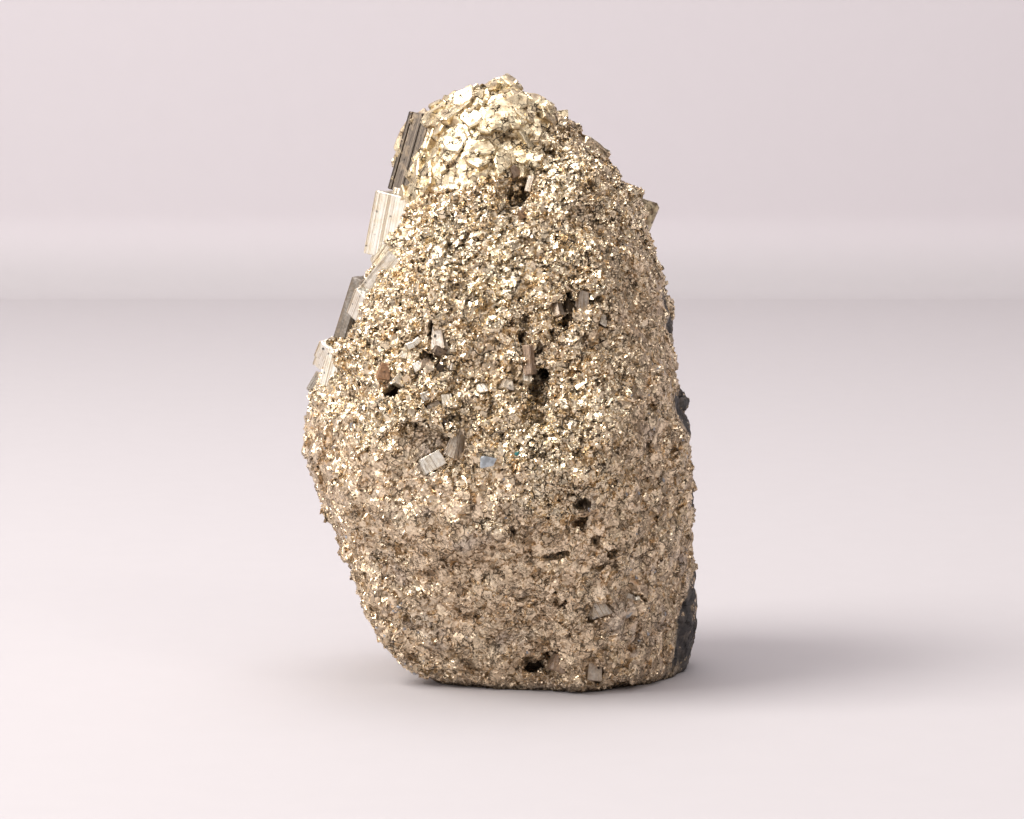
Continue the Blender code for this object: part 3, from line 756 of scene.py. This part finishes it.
source = bmesh.new()
source.from_mesh(cad_mesh)
bmesh.ops.remove_doubles(source, verts=source.verts[:], dist=1e-6)
bed_mesh = bpy.data.meshes.new("mass_shape")
source.to_mesh(bed_mesh)
source.free()
shaper = bpy.data.objects.new("mass_shaper", bed_mesh)
bpy.context.scene.collection.objects.link(shaper)
remesh = shaper.modifiers.new("grains", "REMESH")
remesh.mode = "VOXEL"
remesh.voxel_size = BED_VOXEL
bpy.context.view_layer.update()
bed_mesh = bpy.data.meshes.new_from_object(shaper.evaluated_get(bpy.context.evaluated_depsgraph_get()))
bpy.data.objects.remove(shaper)
bed_points = read_points(bed_mesh)
bed_quads = np.array([tuple(face.vertices) for face in bed_mesh.polygons])
bed_edges = np.array([edge.vertices[:] for edge in bed_mesh.edges])
bed_points = softened(bed_points, bed_edges, 2)
bed_normals = normals_of(bed_points, bed_quads)
soft_points = softened(bed_points, bed_edges, 80)
soft_normals = normals_of(soft_points, bed_quads)
sunk = -((bed_points - soft_points) * soft_normals).sum(axis=1) / MM
worn = worn_at(bed_points)
crowned = crown_at(bed_points)
draw = np.random.default_rng(51)
broad_spots = spread(bed_points, bed_quads, unit(soft_normals + bed_normals), WORN_FACET, draw)
broad, _, broad_crevice = facet_offset(bed_points, bed_normals, *broad_spots, 0.13, 0.09, draw)
close_spots = spread(bed_points, bed_quads, bed_normals, SUGAR_FACET, draw)
close, close_cell, close_crevice = facet_offset(bed_points, bed_normals, *close_spots, 0.26, 0.10, draw)
plate_spots = spread(bed_points, bed_quads, soft_normals, CROWN_FACET, draw)
plate, _, plate_crevice = facet_offset(bed_points, bed_normals, *plate_spots, 0.22, 0.17, draw)
sugary = 1 - worn
broad, close, plate = (
    np.clip(way, -limit * MM, limit * MM) for way, limit in zip((broad, close, plate), FACET_LIMITS)
)
offset = worn * broad + sugary * close
crevice = 0.6 * worn * broad_crevice + sugary * close_crevice
offset = offset * (1 - crowned) + crowned * plate
crevice = crevice * (1 - crowned) + crowned * plate_crevice
lumps = BROAD_LUMPS[0] * cloud(bed_points, BROAD_LUMPS[1], 17)
lumps = lumps + SMALL_LUMPS[0] * cloud(bed_points, SMALL_LUMPS[1], 18)
lumps += (0.08 * sugary + 0.03) * cloud(bed_points, 0.75, 19)
gully_away = (bed_points / MM - on_front(*GULLY[0])) / (GULLY[1][0], 5.0, GULLY[1][1])
filled = GULLY[2] * (1 - smooth_rise(np.linalg.norm(gully_away, axis=1), 0.4, 1.2))
offset = offset + (lumps + filled - CREVICE_DEPTH * crevice) * MM
in_pit, pit_depth = pit_at(bed_points)
offset = offset - pit_depth * MM
outside = seat_depth(bed_points)
offset = np.where(outside < SEAT_CLEAR * MM, np.minimum(offset, -SEAT_SUNK * MM), offset)
offset *= smooth_rise(bed_points[:, 2] / MM, 0.15, 1.2)
bed_points = bed_points + bed_normals * offset[:, None]
bed_points[:, 2] = np.maximum(bed_points[:, 2], FLOOR_GAP)
bed_normals = normals_of(bed_points, bed_quads)
sunk = sunk - 0.9 * lumps
# Painted shade: the mass is darkened in the pits (painted shade and the tarnish of their walls), in the
# hollows below the softened surface, over the lowest 1.3 mm at the foot, and in the crevices between facets.
foot = 1 - smooth_rise(bed_points[:, 2] / MM, 0.1, 1.3)
hollow = np.maximum.reduce([0.9 * in_pit, 0.38 * smooth_rise(sunk, 0.1, 1.5), 0.6 * foot])
bed_painted_shade = np.maximum(hollow, 0.65 * crevice)
bed_lookup = KDTree(len(bed_points[::3]))
for index, place in enumerate(bed_points[::3]):
    bed_lookup.insert(place, index)
bed_lookup.balance()
near_painted_shade = hollow[::3]


def painted_shade_at(points):
    """The painted shade of the pits, hollows and foot nearest to points in metres, from 0 to 1; in the pits
    it also stands for tarnish.
    """
    return near_painted_shade[[bed_lookup.find(point)[1] for point in points]]


def ground_values(points, dark, grain):
    """The values that the stone's finishes read, for every point."""
    return {
        "worn": worn_at(points),
        "crown": crown_at(points),
        "rock": rock_at(points),
        # dark: painted shade of the pits, hollows and foot, and of the crevices on the mass; in the pits it
        # also stands for tarnish
        "dark": dark,
        "grain": np.minimum(grain + 0.7 * fresh_at(points), 1),
    }


def mesh_of(name, points, faces, values):
    """A new mesh from arrays of points and of faces that all have the same count of corners."""
    mesh = bpy.data.meshes.new(name)
    mesh.vertices.add(len(points))
    mesh.vertices.foreach_set("co", points.astype(np.float32).ravel())
    mesh.loops.add(faces.size)
    mesh.loops.foreach_set("vertex_index", faces.astype(np.int32).ravel())
    mesh.polygons.add(len(faces))
    mesh.polygons.foreach_set("loop_start", np.arange(0, faces.size, faces.shape[1], dtype=np.int32))
    mesh.update(calc_edges=True)
    set_values(mesh, values)
    return mesh


def pyrite_patterns(start, place):
    """The values and patterns that every part of the stone's finish reads."""
    names = ("worn", "crown", "rock", "dark", "grain")
    at = SimpleNamespace(**{name: value_of(start, name) for name in names})
    at.wild = 1 - at.worn
    at.mottle = place.clouds(1.6, 3.0)
    at.broad = place.clouds(5.0, 2.0)
    at.ripple = place.clouds(0.34, 2.0)
    bent = place.plus(at.ripple.also("Color").times(0.00025))
    at.ragged = bent.plus(at.mottle.also("Color").times(0.0013))
    at.flakes = at.ragged.facets(1.25)
    at.cells = bent.facets(0.60)
    at.specks = bent.facets(0.25)
    return at


def pyrite_colour(at):
    """Clean pyrite: gold, cream on the crown, and tan with grey patches where it is worn."""
    speck = at.specks.part("Y")
    gold = at.grain.mix((0.84, 0.668, 0.458), (0.96, 0.825, 0.605))
    gold = (speck.rise(0.6, 1.0) * 0.40).mix(gold, (0.28, 0.185, 0.105))
    cream = at.cells.part("Y").rise(0.45, 0.95).mix((0.84, 0.725, 0.49), (0.50, 0.38, 0.22))
    gold = (at.crown * 0.7).mix(gold, cream)
    tan = at.mottle.rise(0.36, 0.64).mix((1.0, 0.828, 0.612), (0.90, 0.715, 0.505))
    tan = (speck.rise(0.45, 1.0) * 0.65).mix(tan, (0.28, 0.19, 0.115))
    tan = (at.cells.part("X").rise(0.5, 0.95) * 0.25).mix(tan, (0.34, 0.245, 0.155))
    tan = (at.flakes.part("Z").rise(0.5, 0.9) * 0.55).mix(tan, (0.46, 0.34, 0.22))
    colour = (at.broad.rise(0.50, 0.68) * 0.24).mix(at.worn.mix(gold, tan), (0.38, 0.255, 0.155))
    grey = at.broad.also("Color").part("Z").rise(0.56, 0.66) * at.worn * 0.32
    return grey.mix(colour, (0.36, 0.345, 0.35))


def pyrite_marks(at):
    """Dark dots, seams and rims of the flakes, and painted shade in the pits, hollows, crevices and at the
    foot, from 0 to 1.
    """
    dots = 1 - at.cells.also("Distance").rise(0.10, 0.26)
    dots = dots * at.cells.part("Z").rise(0.56, 0.66) * at.mottle.rise(0.42, 0.52)
    ripple = at.ripple - 0.5
    seams = 1 - ripple.maths("ABSOLUTE", ripple).rise(0.014, 0.048)
    seams = seams * at.mottle.also("Color").part("Y").rise(0.46, 0.56)
    # Painted shade: darker where the dark value marks pits, hollows, crevices and the foot, broken up by the
    # ripple.
    painted_hollow_shade = (at.dark + ripple * 1.1).rise(0.14, 0.70)
    rims = 1 - at.ragged.facet_rims(1.25).rise(0.02, 0.08)
    rims = rims * at.mottle.also("Color").part("X").rise(0.46, 0.57) * (1 - at.worn * 0.2)
    return dots.highest(seams * 0.75).highest(painted_hollow_shade).highest(rims)


def pyrite_lean(at, crumple, glint):
    """How far the small facets lean out of the surface, as a vector."""
    flake = (at.flakes.part("X") + at.worn * 0.28).rise(0.50, 0.54)
    lean = at.ripple.also("Color").way().times(at.wild * (0.4 * crumple + 0.12) + 0.48)
    lean = lean.plus(at.cells.way().times(at.wild * (1.9 * crumple - 0.15) + 0.65))
    lean = lean.plus(at.specks.way().times(at.wild * (1.2 * glint - 0.45) + 0.90))
    lean = lean.times(1 - flake * 0.7).plus(at.flakes.way().times(flake * (at.worn * 0.50 + 0.55)))
    return lean.times(1 - at.crown * 0.70)


def pyrite_finish(name, crumple, glint, roughness):
    """Pyrite whose surface is made of many small facets, and the dark rock that is in it."""
    made, start, place, shader = new_finish(name)
    at = pyrite_patterns(start, place)
    marks = pyrite_marks(at)
    # The marks turn the colour dark brown; among them is the painted shade of the pits, hollows, crevices
    # and foot.
    colour = marks.mix(pyrite_colour(at), (0.050, 0.033, 0.018))
    rock = at.rock * (1 - at.cells.part("X").rise(0.72, 0.76) * at.mottle.rise(0.50, 0.56))
    stone = at.mottle.rise(0.4, 0.62).mix((0.060, 0.055, 0.054), (0.150, 0.130, 0.115))
    normal = start.node("ShaderNodeNewGeometry", {}, {}, "Normal").plus(pyrite_lean(at, crumple, glint))
    dull = at.worn * 0.10 + rock * 0.30 + marks * 0.25 + at.mottle * 0.12 + at.crown * 0.16
    set_inputs(
        shader,
        {
            "Base Color": rock.mix(colour, stone),
            "Metallic": (1 - rock * 0.9) * (1 - marks * 0.35),
            "Roughness": roughness + dull,
            "Normal": normal.vector("NORMALIZE", {}),
        },
    )
    return made


def mass_half(name, chosen, finish):
    """One closed half of the mass: the chosen faces, and a floor of triangles that meet inside."""
    quads = bed_quads[chosen]
    used, numbers = np.unique(quads, return_inverse=True)
    quads = numbers.reshape(-1, 4)
    ends = np.concatenate([quads[:, [0, 1]], quads[:, [1, 2]], quads[:, [2, 3]], quads[:, [3, 0]]])
    code = ends.min(axis=1) * len(used) + ends.max(axis=1)
    _, first, count = np.unique(code, return_index=True, return_counts=True)
    rim = ends[first[count == 1]]
    middle = len(used)
    points = np.vstack((bed_points[used], (0.0, 0.0, PARTING * MM)))
    closing = np.column_stack((rim[:, 1], rim[:, 0], np.full(len(rim), middle)))
    faces = np.concatenate([quads[:, [0, 1, 2]], quads[:, [0, 2, 3]], closing])
    picked = np.random.default_rng(52).random(len(close_spots[0]))[close_cell]
    ground = ground_values(bed_points[used], bed_painted_shade[used], picked[used])
    mesh = mesh_of(name, points, faces, {key: np.append(found, 0.0) for key, found in ground.items()})
    mesh.materials.append(finish)
    piece = mesh_piece(name, mesh)
    mesh.shade_smooth()
    mesh.set_sharp_from_angle(angle=math.radians(18))
    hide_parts("pyrite_mass")


mass_pyrite = pyrite_finish("mass_pyrite", 0.40, 0.38, 0.24)
above = bed_points[bed_quads].mean(axis=1)[:, 2] > PARTING * MM
mass_half("upper_mass", above, mass_pyrite)
mass_half("lower_mass", ~above, mass_pyrite)

# ---------------------------------------------------------------- grown grains
# The crystals and broken grains that stand out of the mass. Most are between a third of a
# millimetre and two millimetres, each is sunk into the mass by about half or more, and
# they are flat plates where the stone is worn or coarse, and tumbled chunks elsewhere.
TEMPLATES = 14  # shapes of each kind
CUBE_CHIP = 0.16  # share of a chipped crystal's half size that is broken off a corner
PLATE_HEIGHT = 1.1  # mm, most of it inside the mass


def hull(points):
    """(points, triangles) of the closed shape around points."""
    bm = bmesh.new()
    for point in points:
        bm.verts.new(Vector(point))
    found = bmesh.ops.convex_hull(bm, input=bm.verts[:])
    unused = {item for item in found["geom_interior"] + found["geom_unused"] if item in bm.verts[:]}
    bmesh.ops.delete(bm, geom=list(unused), context="VERTS")
    bmesh.ops.triangulate(bm, faces=bm.faces[:])
    bmesh.ops.recalc_face_normals(bm, faces=bm.faces[:])
    bm.verts.index_update()
    made = (
        np.array([vertex.co for vertex in bm.verts]),
        np.array([[corner.index for corner in face.verts] for face in bm.faces]),
    )
    bm.free()
    return made


def cube_corners(draw):
    return np.array(list(itertools.product((-0.5, 0.5), repeat=3))) * draw.uniform(0.7, 1.2, 3)


def cube_shape(draw):
    """A crystal's sharp cube or block of about size 1."""
    return hull(cube_corners(draw))


def chipped_cube(draw):
    """A crystal's cube of about size 1 whose corners and edges are chipped."""
    cut = []
    for corner in cube_corners(draw):
        for axis in range(3):
            moved = corner * (1 - CUBE_CHIP * draw.uniform(0.5, 1.4))
            moved[axis] = corner[axis]
            cut.append(moved)
    return hull(cut)


def chunk_shape(draw):
    """A broken grain of about size 1."""
    corners = unit(draw.normal(size=(11, 3))) * draw.uniform(0.40, 0.62, (11, 1))
    return hull(corners)


def plate_shape(draw):
    """A flat-topped grain of about size 1, with an uneven outline."""
    sides = int(draw.integers(5, 8))
    angles = np.sort((np.arange(sides) + draw.uniform(-0.3, 0.3, sides)) * 2 * math.pi / sides)
    reach = draw.uniform(0.42, 0.64, sides)
    ring = np.column_stack((np.cos(angles) * reach, np.sin(angles) * reach))
    top = np.column_stack((ring * 0.86, np.full(sides, 0.5)))
    rim = np.column_stack((ring, np.full(sides, 0.34)))
    foot = np.column_stack((ring * 0.9, np.full(sides, -0.5)))
    return hull(np.concatenate((top, rim, foot)))


def leaning_frames(facing, tilt, draw):
    """Columns of each grain's own axes: Z leans away from the normal by up to tilt degrees."""
    count = len(facing)
    side = unit(np.cross(facing, draw.normal(size=(count, 3))))
    lean = np.radians(tilt) * np.sqrt(draw.random(count))
    up = facing * np.cos(lean)[:, None] + side * np.sin(lean)[:, None]
    across = unit(np.cross(up, draw.normal(size=(count, 3))))
    return np.stack((across, np.cross(up, across), up), axis=2)


def grow(name, places, frames, sizes, makers, finish, draw):
    """One piece that holds a grain at every place, of a random one of the shapes that the makers give."""
    shapes = [make(draw) for make in makers for _ in range(TEMPLATES)]
    kinds = draw.integers(0, len(shapes), len(places))
    all_points, all_triangles, grain_values = [], [], []
    start = 0
    for kind, (corners, triangles) in enumerate(shapes):
        chosen = np.flatnonzero(kinds == kind)
        local = corners[None] * sizes[chosen][:, None, :] * MM
        points = np.einsum("nij,nkj->nki", frames[chosen], local) + places[chosen][:, None, :]
        offsets = start + np.arange(len(chosen)) * len(corners)
        all_points.append(points.reshape(-1, 3))
        all_triangles.append((triangles[None] + offsets[:, None, None]).reshape(-1, 3))
        grain_values.append(np.repeat(draw.random(len(chosen)), len(corners)))
        start += len(chosen) * len(corners)
    points = np.concatenate(all_points)
    points[:, 2] = np.maximum(points[:, 2], FLOOR_GAP)
    values = ground_values(points, painted_shade_at(points), np.concatenate(grain_values))
    mesh = mesh_of(name, points, np.concatenate(all_triangles), values)
    mesh.materials.append(finish)
    mesh_piece(name, mesh)


def growing_places(spacing, normals, draw, density, gap):
    """Places and normals for grains, clear of pits, of dark rock and of the large crystals."""
    places, facing = spread(bed_points, bed_quads, normals, spacing, draw, density)
    kept = (seat_depth(places) > gap * MM) & (pit_at(places)[0] < 0.25) & (rock_at(places) < 0.5)
    return places[kept], facing[kept]


def grow_grains(name, makers, finish, draw, density, *, spacing, gap, span, uneven, tilt, sinking):
    """One piece of chunky grains whose sizes in mm lie in span.

    Each side of a grain differs by a share in uneven, it leans by up to tilt degrees, and
    sinking gives how deep its middle sits, as a share of its size.
    """
    places, facing = growing_places(spacing, bed_normals, draw, density, gap)
    size = draw.uniform(*span, len(places))
    sizes = size[:, None] * draw.uniform(*uneven, (len(places), 3))
    frames = leaning_frames(facing, tilt, draw)
    lift = -sinking(places) * size * MM
    grow(name, places + facing * lift[:, None], frames, sizes, makers, finish, draw)


def coarse_density(points):
    """Where one to two millimetre crystals crowd together, from 0 to 1."""
    crowd = smooth_rise(cloud(points, 4.4, 21) + 0.4 * cloud(points, 1.8, 22), -0.15, 0.45)
    return (0.05 + 0.60 * crowd) * (1 - 0.80 * worn_at(points)) * (1 - 0.9 * crown_at(points))


def sugar_density(points):
    """Where half-millimetre grains stand out of the mass, from 0 to 1."""
    crowd = smooth_rise(cloud(points, 2.6, 23) + 0.5 * cloud(points, 1.2, 24), -0.45, 0.35)
    return (0.16 + 0.62 * crowd) * (1 - 0.72 * worn_at(points)) * (1 - 0.96 * crown_at(points))


def fine_density(points):
    """Where grains of a third of a millimetre fill the gaps, from 0 to 1."""
    return 0.42 - 0.24 * worn_at(points) - 0.4 * crown_at(points)


def plate_density(points):
    """Where flat plates lie, from 0 to 1."""
    return np.maximum(0.62 * crown_at(points), 0.04 + 0.50 * worn_at(points))


grain_pyrite = pyrite_finish("grain_pyrite", 0.22, 0.26, 0.18)
draw = np.random.default_rng(61)

# Plates: the crown's coarse facets and the thin flat grains of the worn part.
places, facing = growing_places(1.5, soft_normals, draw, plate_density, -0.1)
crowned = crown_at(places)
across = draw.uniform(0.9, 2.5, len(places)) * (0.9 + 0.9 * crowned)
depth = across * draw.uniform(0.55, 1.0, len(places))
sizes = np.column_stack((across, depth, np.full(len(places), PLATE_HEIGHT)))
frames = leaning_frames(facing, 8 + 12 * crowned, draw)
lift = (draw.uniform(-0.06, 0.10, len(places)) + 0.16 * crowned - PLATE_HEIGHT / 2) * MM
grow("plates", places + facing * lift[:, None], frames, sizes, [plate_shape], grain_pyrite, draw)

# Coarse crystals and chunks, one to two millimetres.
grow_grains(
    "coarse_grains", [chipped_cube, chunk_shape], grain_pyrite, draw, coarse_density, spacing=1.5, gap=0.0,
    span=(0.8, 1.7), uneven=(0.75, 1.25), tilt=40,
    sinking=lambda places: draw.uniform(0.28, 0.46, len(places)),
)

# Sugar-like grains, half a millimetre to one.
grow_grains(
    "sugar_grains", [chunk_shape, cube_shape], grain_pyrite, draw, sugar_density, spacing=0.70, gap=-0.25,
    span=(0.42, 0.86), uneven=(0.7, 1.3), tilt=60,
    sinking=lambda places: draw.uniform(0.22, 0.46, len(places)),
)

# Fine grains in the gaps.
grow_grains(
    "fine_grains", [cube_shape], grain_pyrite, draw, fine_density, spacing=0.60, gap=-0.1,
    span=(0.22, 0.46), uneven=(0.7, 1.4), tilt=70,
    sinking=lambda places: 0.16 * worn_at(places),
)

# ---------------------------------------------------------------- quartz and rare specks
# Grains of milky bluish quartz that are grown into the worn part and the right side, with
# one paler and one greyer grain, one turquoise and one orange speck on the front. Quartz is
# dull glass.
QUARTZ_SIZE = (0.5, 1.3)  # mm
QUARTZ_PATCH = ((19.3, 36.8), (1.3, 3.4))  # x and z of its crowd on the right, half sizes; mm
# x and z on the front and size in mm, colour
SPECKS = (
    ((-1.9, 31.8), (2.7, 1.4, 1.8), (0.55, 0.60, 0.63)),
    ((2.1, 32.8), (0.75, 0.7, 0.75), (0.05, 0.30, 0.30)),
    ((-7.9, 70.2), (0.7, 0.6, 0.9), (0.75, 0.42, 0.07)),
    ((16.1, 10.8), (2.4, 1.4, 1.8), (0.42, 0.41, 0.40)),
)


def quartz_finish(name, tint, milk):
    """Cloudy quartz of one tint, slightly see-through."""
    made, _, place, shader = new_finish(name)
    veins = place.clouds(0.5, 3.0)
    shade = tuple(part * 0.62 for part in tint)
    set_inputs(
        shader,
        {
            "Base Color": veins.rise(0.35, 0.65).mix(shade, tint),
            "Roughness": 0.22 + veins * 0.3,
            "Transmission Weight": 1 - milk,
            "IOR": 1.54,
        },
    )
    return made


def quartz_density(points):
    """Where quartz grains show, from 0 to 1."""
    away = (points[:, [0, 2]] / MM - QUARTZ_PATCH[0]) / QUARTZ_PATCH[1]
    patch = 1 - smooth_rise(np.hypot(*away.T), 0.7, 1.2)
    crowd = smooth_rise(cloud(points, 3.4, 31) + 0.4 * cloud(points, 1.3, 32), 0.15, 0.55)
    return np.maximum(0.9 * patch, 0.55 * crowd * worn_at(points))


milky = quartz_finish("milky_quartz", (0.50, 0.50, 0.53), 0.75)
grow_grains(
    "quartz_grains", [chunk_shape], milky, draw, quartz_density, spacing=1.0, gap=0.1,
    span=QUARTZ_SIZE, uneven=(0.6, 1.2), tilt=40,
    sinking=lambda places: draw.uniform(0.34, 0.46, len(places)),
)
for number, (place, size, tint) in enumerate(SPECKS, 1):
    corners, triangles = chunk_shape(draw)
    centre = on_front(*place) - (0, 0.2 * size[1], 0)
    speck = joined(f"speck_{number}", [((corners * size + centre) * MM, triangles.tolist())], {})
    speck.data.materials.append(quartz_finish(f"speck_{number}", tint, 0.9))

# ---------------------------------------------------------------- table, backdrop, light and camera
# A pale card that lies flat under the stone and curves up behind it, lit by a soft lamp from
# the upper left, by three weaker ones and by the pale room around it.
CARD_HALF_WIDTH = 1.6
CARD_FRONT = -1.2
CARD_BACK = 0.58
CARD_CURVE = 0.024
CARD_HEIGHT = 1.0
CURVE_PARTS = 32
profile = [(CARD_FRONT, 0.0)]
for part in range(CURVE_PARTS + 1):
    angle = math.pi / 2 * part / CURVE_PARTS
    level = CARD_BACK - CARD_CURVE * (1 - math.sin(angle))
    profile.append((level, CARD_CURVE * (1 - math.cos(angle))))
profile += [(CARD_BACK, CARD_CURVE * 1.05), (CARD_BACK, CARD_HEIGHT)]
card_mesh = bpy.data.meshes.new("card")
card_mesh.from_pydata(
    [(side * CARD_HALF_WIDTH, y, z) for y, z in profile for side in (-1, 1)],
    [],
    [(2 * row, 2 * row + 1, 2 * row + 3, 2 * row + 2) for row in range(len(profile) - 1)],
)
card_mesh.shade_smooth()
card = bpy.data.objects.new("card", card_mesh)
bpy.context.scene.collection.objects.link(card)
paper, _, place, shader = new_finish("card_paper")
grainy = place.clouds(6.0, 3.0)
# Painted shade: the card's flat floor is painted darker than its wall, and the two blend over the curve.
floor_painted_shade = grainy.mix((0.476, 0.450, 0.457), (0.490, 0.463, 0.470))
wall_shade = grainy.mix((0.638, 0.597, 0.617), (0.648, 0.606, 0.626))
paper_shade = place.part("Z").rise(0.003, 0.024).mix(floor_painted_shade, wall_shade)
set_inputs(shader, {"Base Color": paper_shade, "Roughness": 0.85})
card_mesh.materials.append(paper)


def add_lamp(name, place, aim, size, power, colour):
    """A square soft lamp at a place that faces its aim, in metres and watts."""
    lamp = bpy.data.lights.new(name, "AREA")
    lamp.size = size
    lamp.energy = power
    lamp.color = colour
    obj = bpy.data.objects.new(name, lamp)
    bpy.context.scene.collection.objects.link(obj)
    obj.location = place
    obj.rotation_mode = "QUATERNION"
    obj.rotation_quaternion = (Vector(aim) - Vector(place)).to_track_quat("-Z", "Y")
    obj.visible_camera = False


add_lamp("key_lamp", (-0.46, -0.14, 0.60), (0, 0, 0.04), 0.40, 6.6, (1.0, 0.98, 0.95))
add_lamp("top_lamp", (0.05, 0.16, 0.85), (0, 0, 0.04), 0.6, 2.7, (1.0, 0.98, 1.0))
add_lamp("left_lamp", (-0.70, -0.56, 0.14), (0, 0, 0.04), 0.5, 1.1, (1.0, 0.98, 0.95))
add_lamp("side_lamp", (0.42, -0.42, 0.53), (0, 0, 0.04), 0.16, 0.55, (1.0, 0.97, 0.93))

world = bpy.data.worlds.new("room")
world.use_nodes = True
room = Wire(world.node_tree)
facing_room = room.node("ShaderNodeTexCoord", {}, {}, "Generated")
toward_key = facing_room.vector("DOT_PRODUCT", {1: (-0.62, -0.18, 0.76)}, "Value")
room_shade = toward_key.rise(-0.3, 0.9).mix((0.20, 0.172, 0.155), (0.82, 0.77, 0.79))
world.node_tree.links.new(room_shade.socket, world.node_tree.nodes["Background"].inputs["Color"])
bpy.context.scene.world = world

CAMERA_DISTANCE = 0.450
CAMERA_PITCH = math.radians(7.0)
VIEW_WIDTH = 0.1360  # of the scene at the stone
SENSOR = 30.0
aim = Vector((0.00145, 0.0, 0.0356))
back = Vector((0, -math.cos(CAMERA_PITCH), math.sin(CAMERA_PITCH)))
lens = bpy.data.cameras.new("camera")
lens.sensor_width = SENSOR
lens.lens = SENSOR * CAMERA_DISTANCE / VIEW_WIDTH
lens.clip_start = 0.01
lens.clip_end = 20
camera = bpy.data.objects.new("camera", lens)
bpy.context.scene.collection.objects.link(camera)
camera.location = aim + back * CAMERA_DISTANCE
camera.rotation_mode = "QUATERNION"
camera.rotation_quaternion = (-back).to_track_quat("-Z", "Y")
bpy.context.scene.camera = camera
bpy.context.scene.view_settings.view_transform = "Standard"
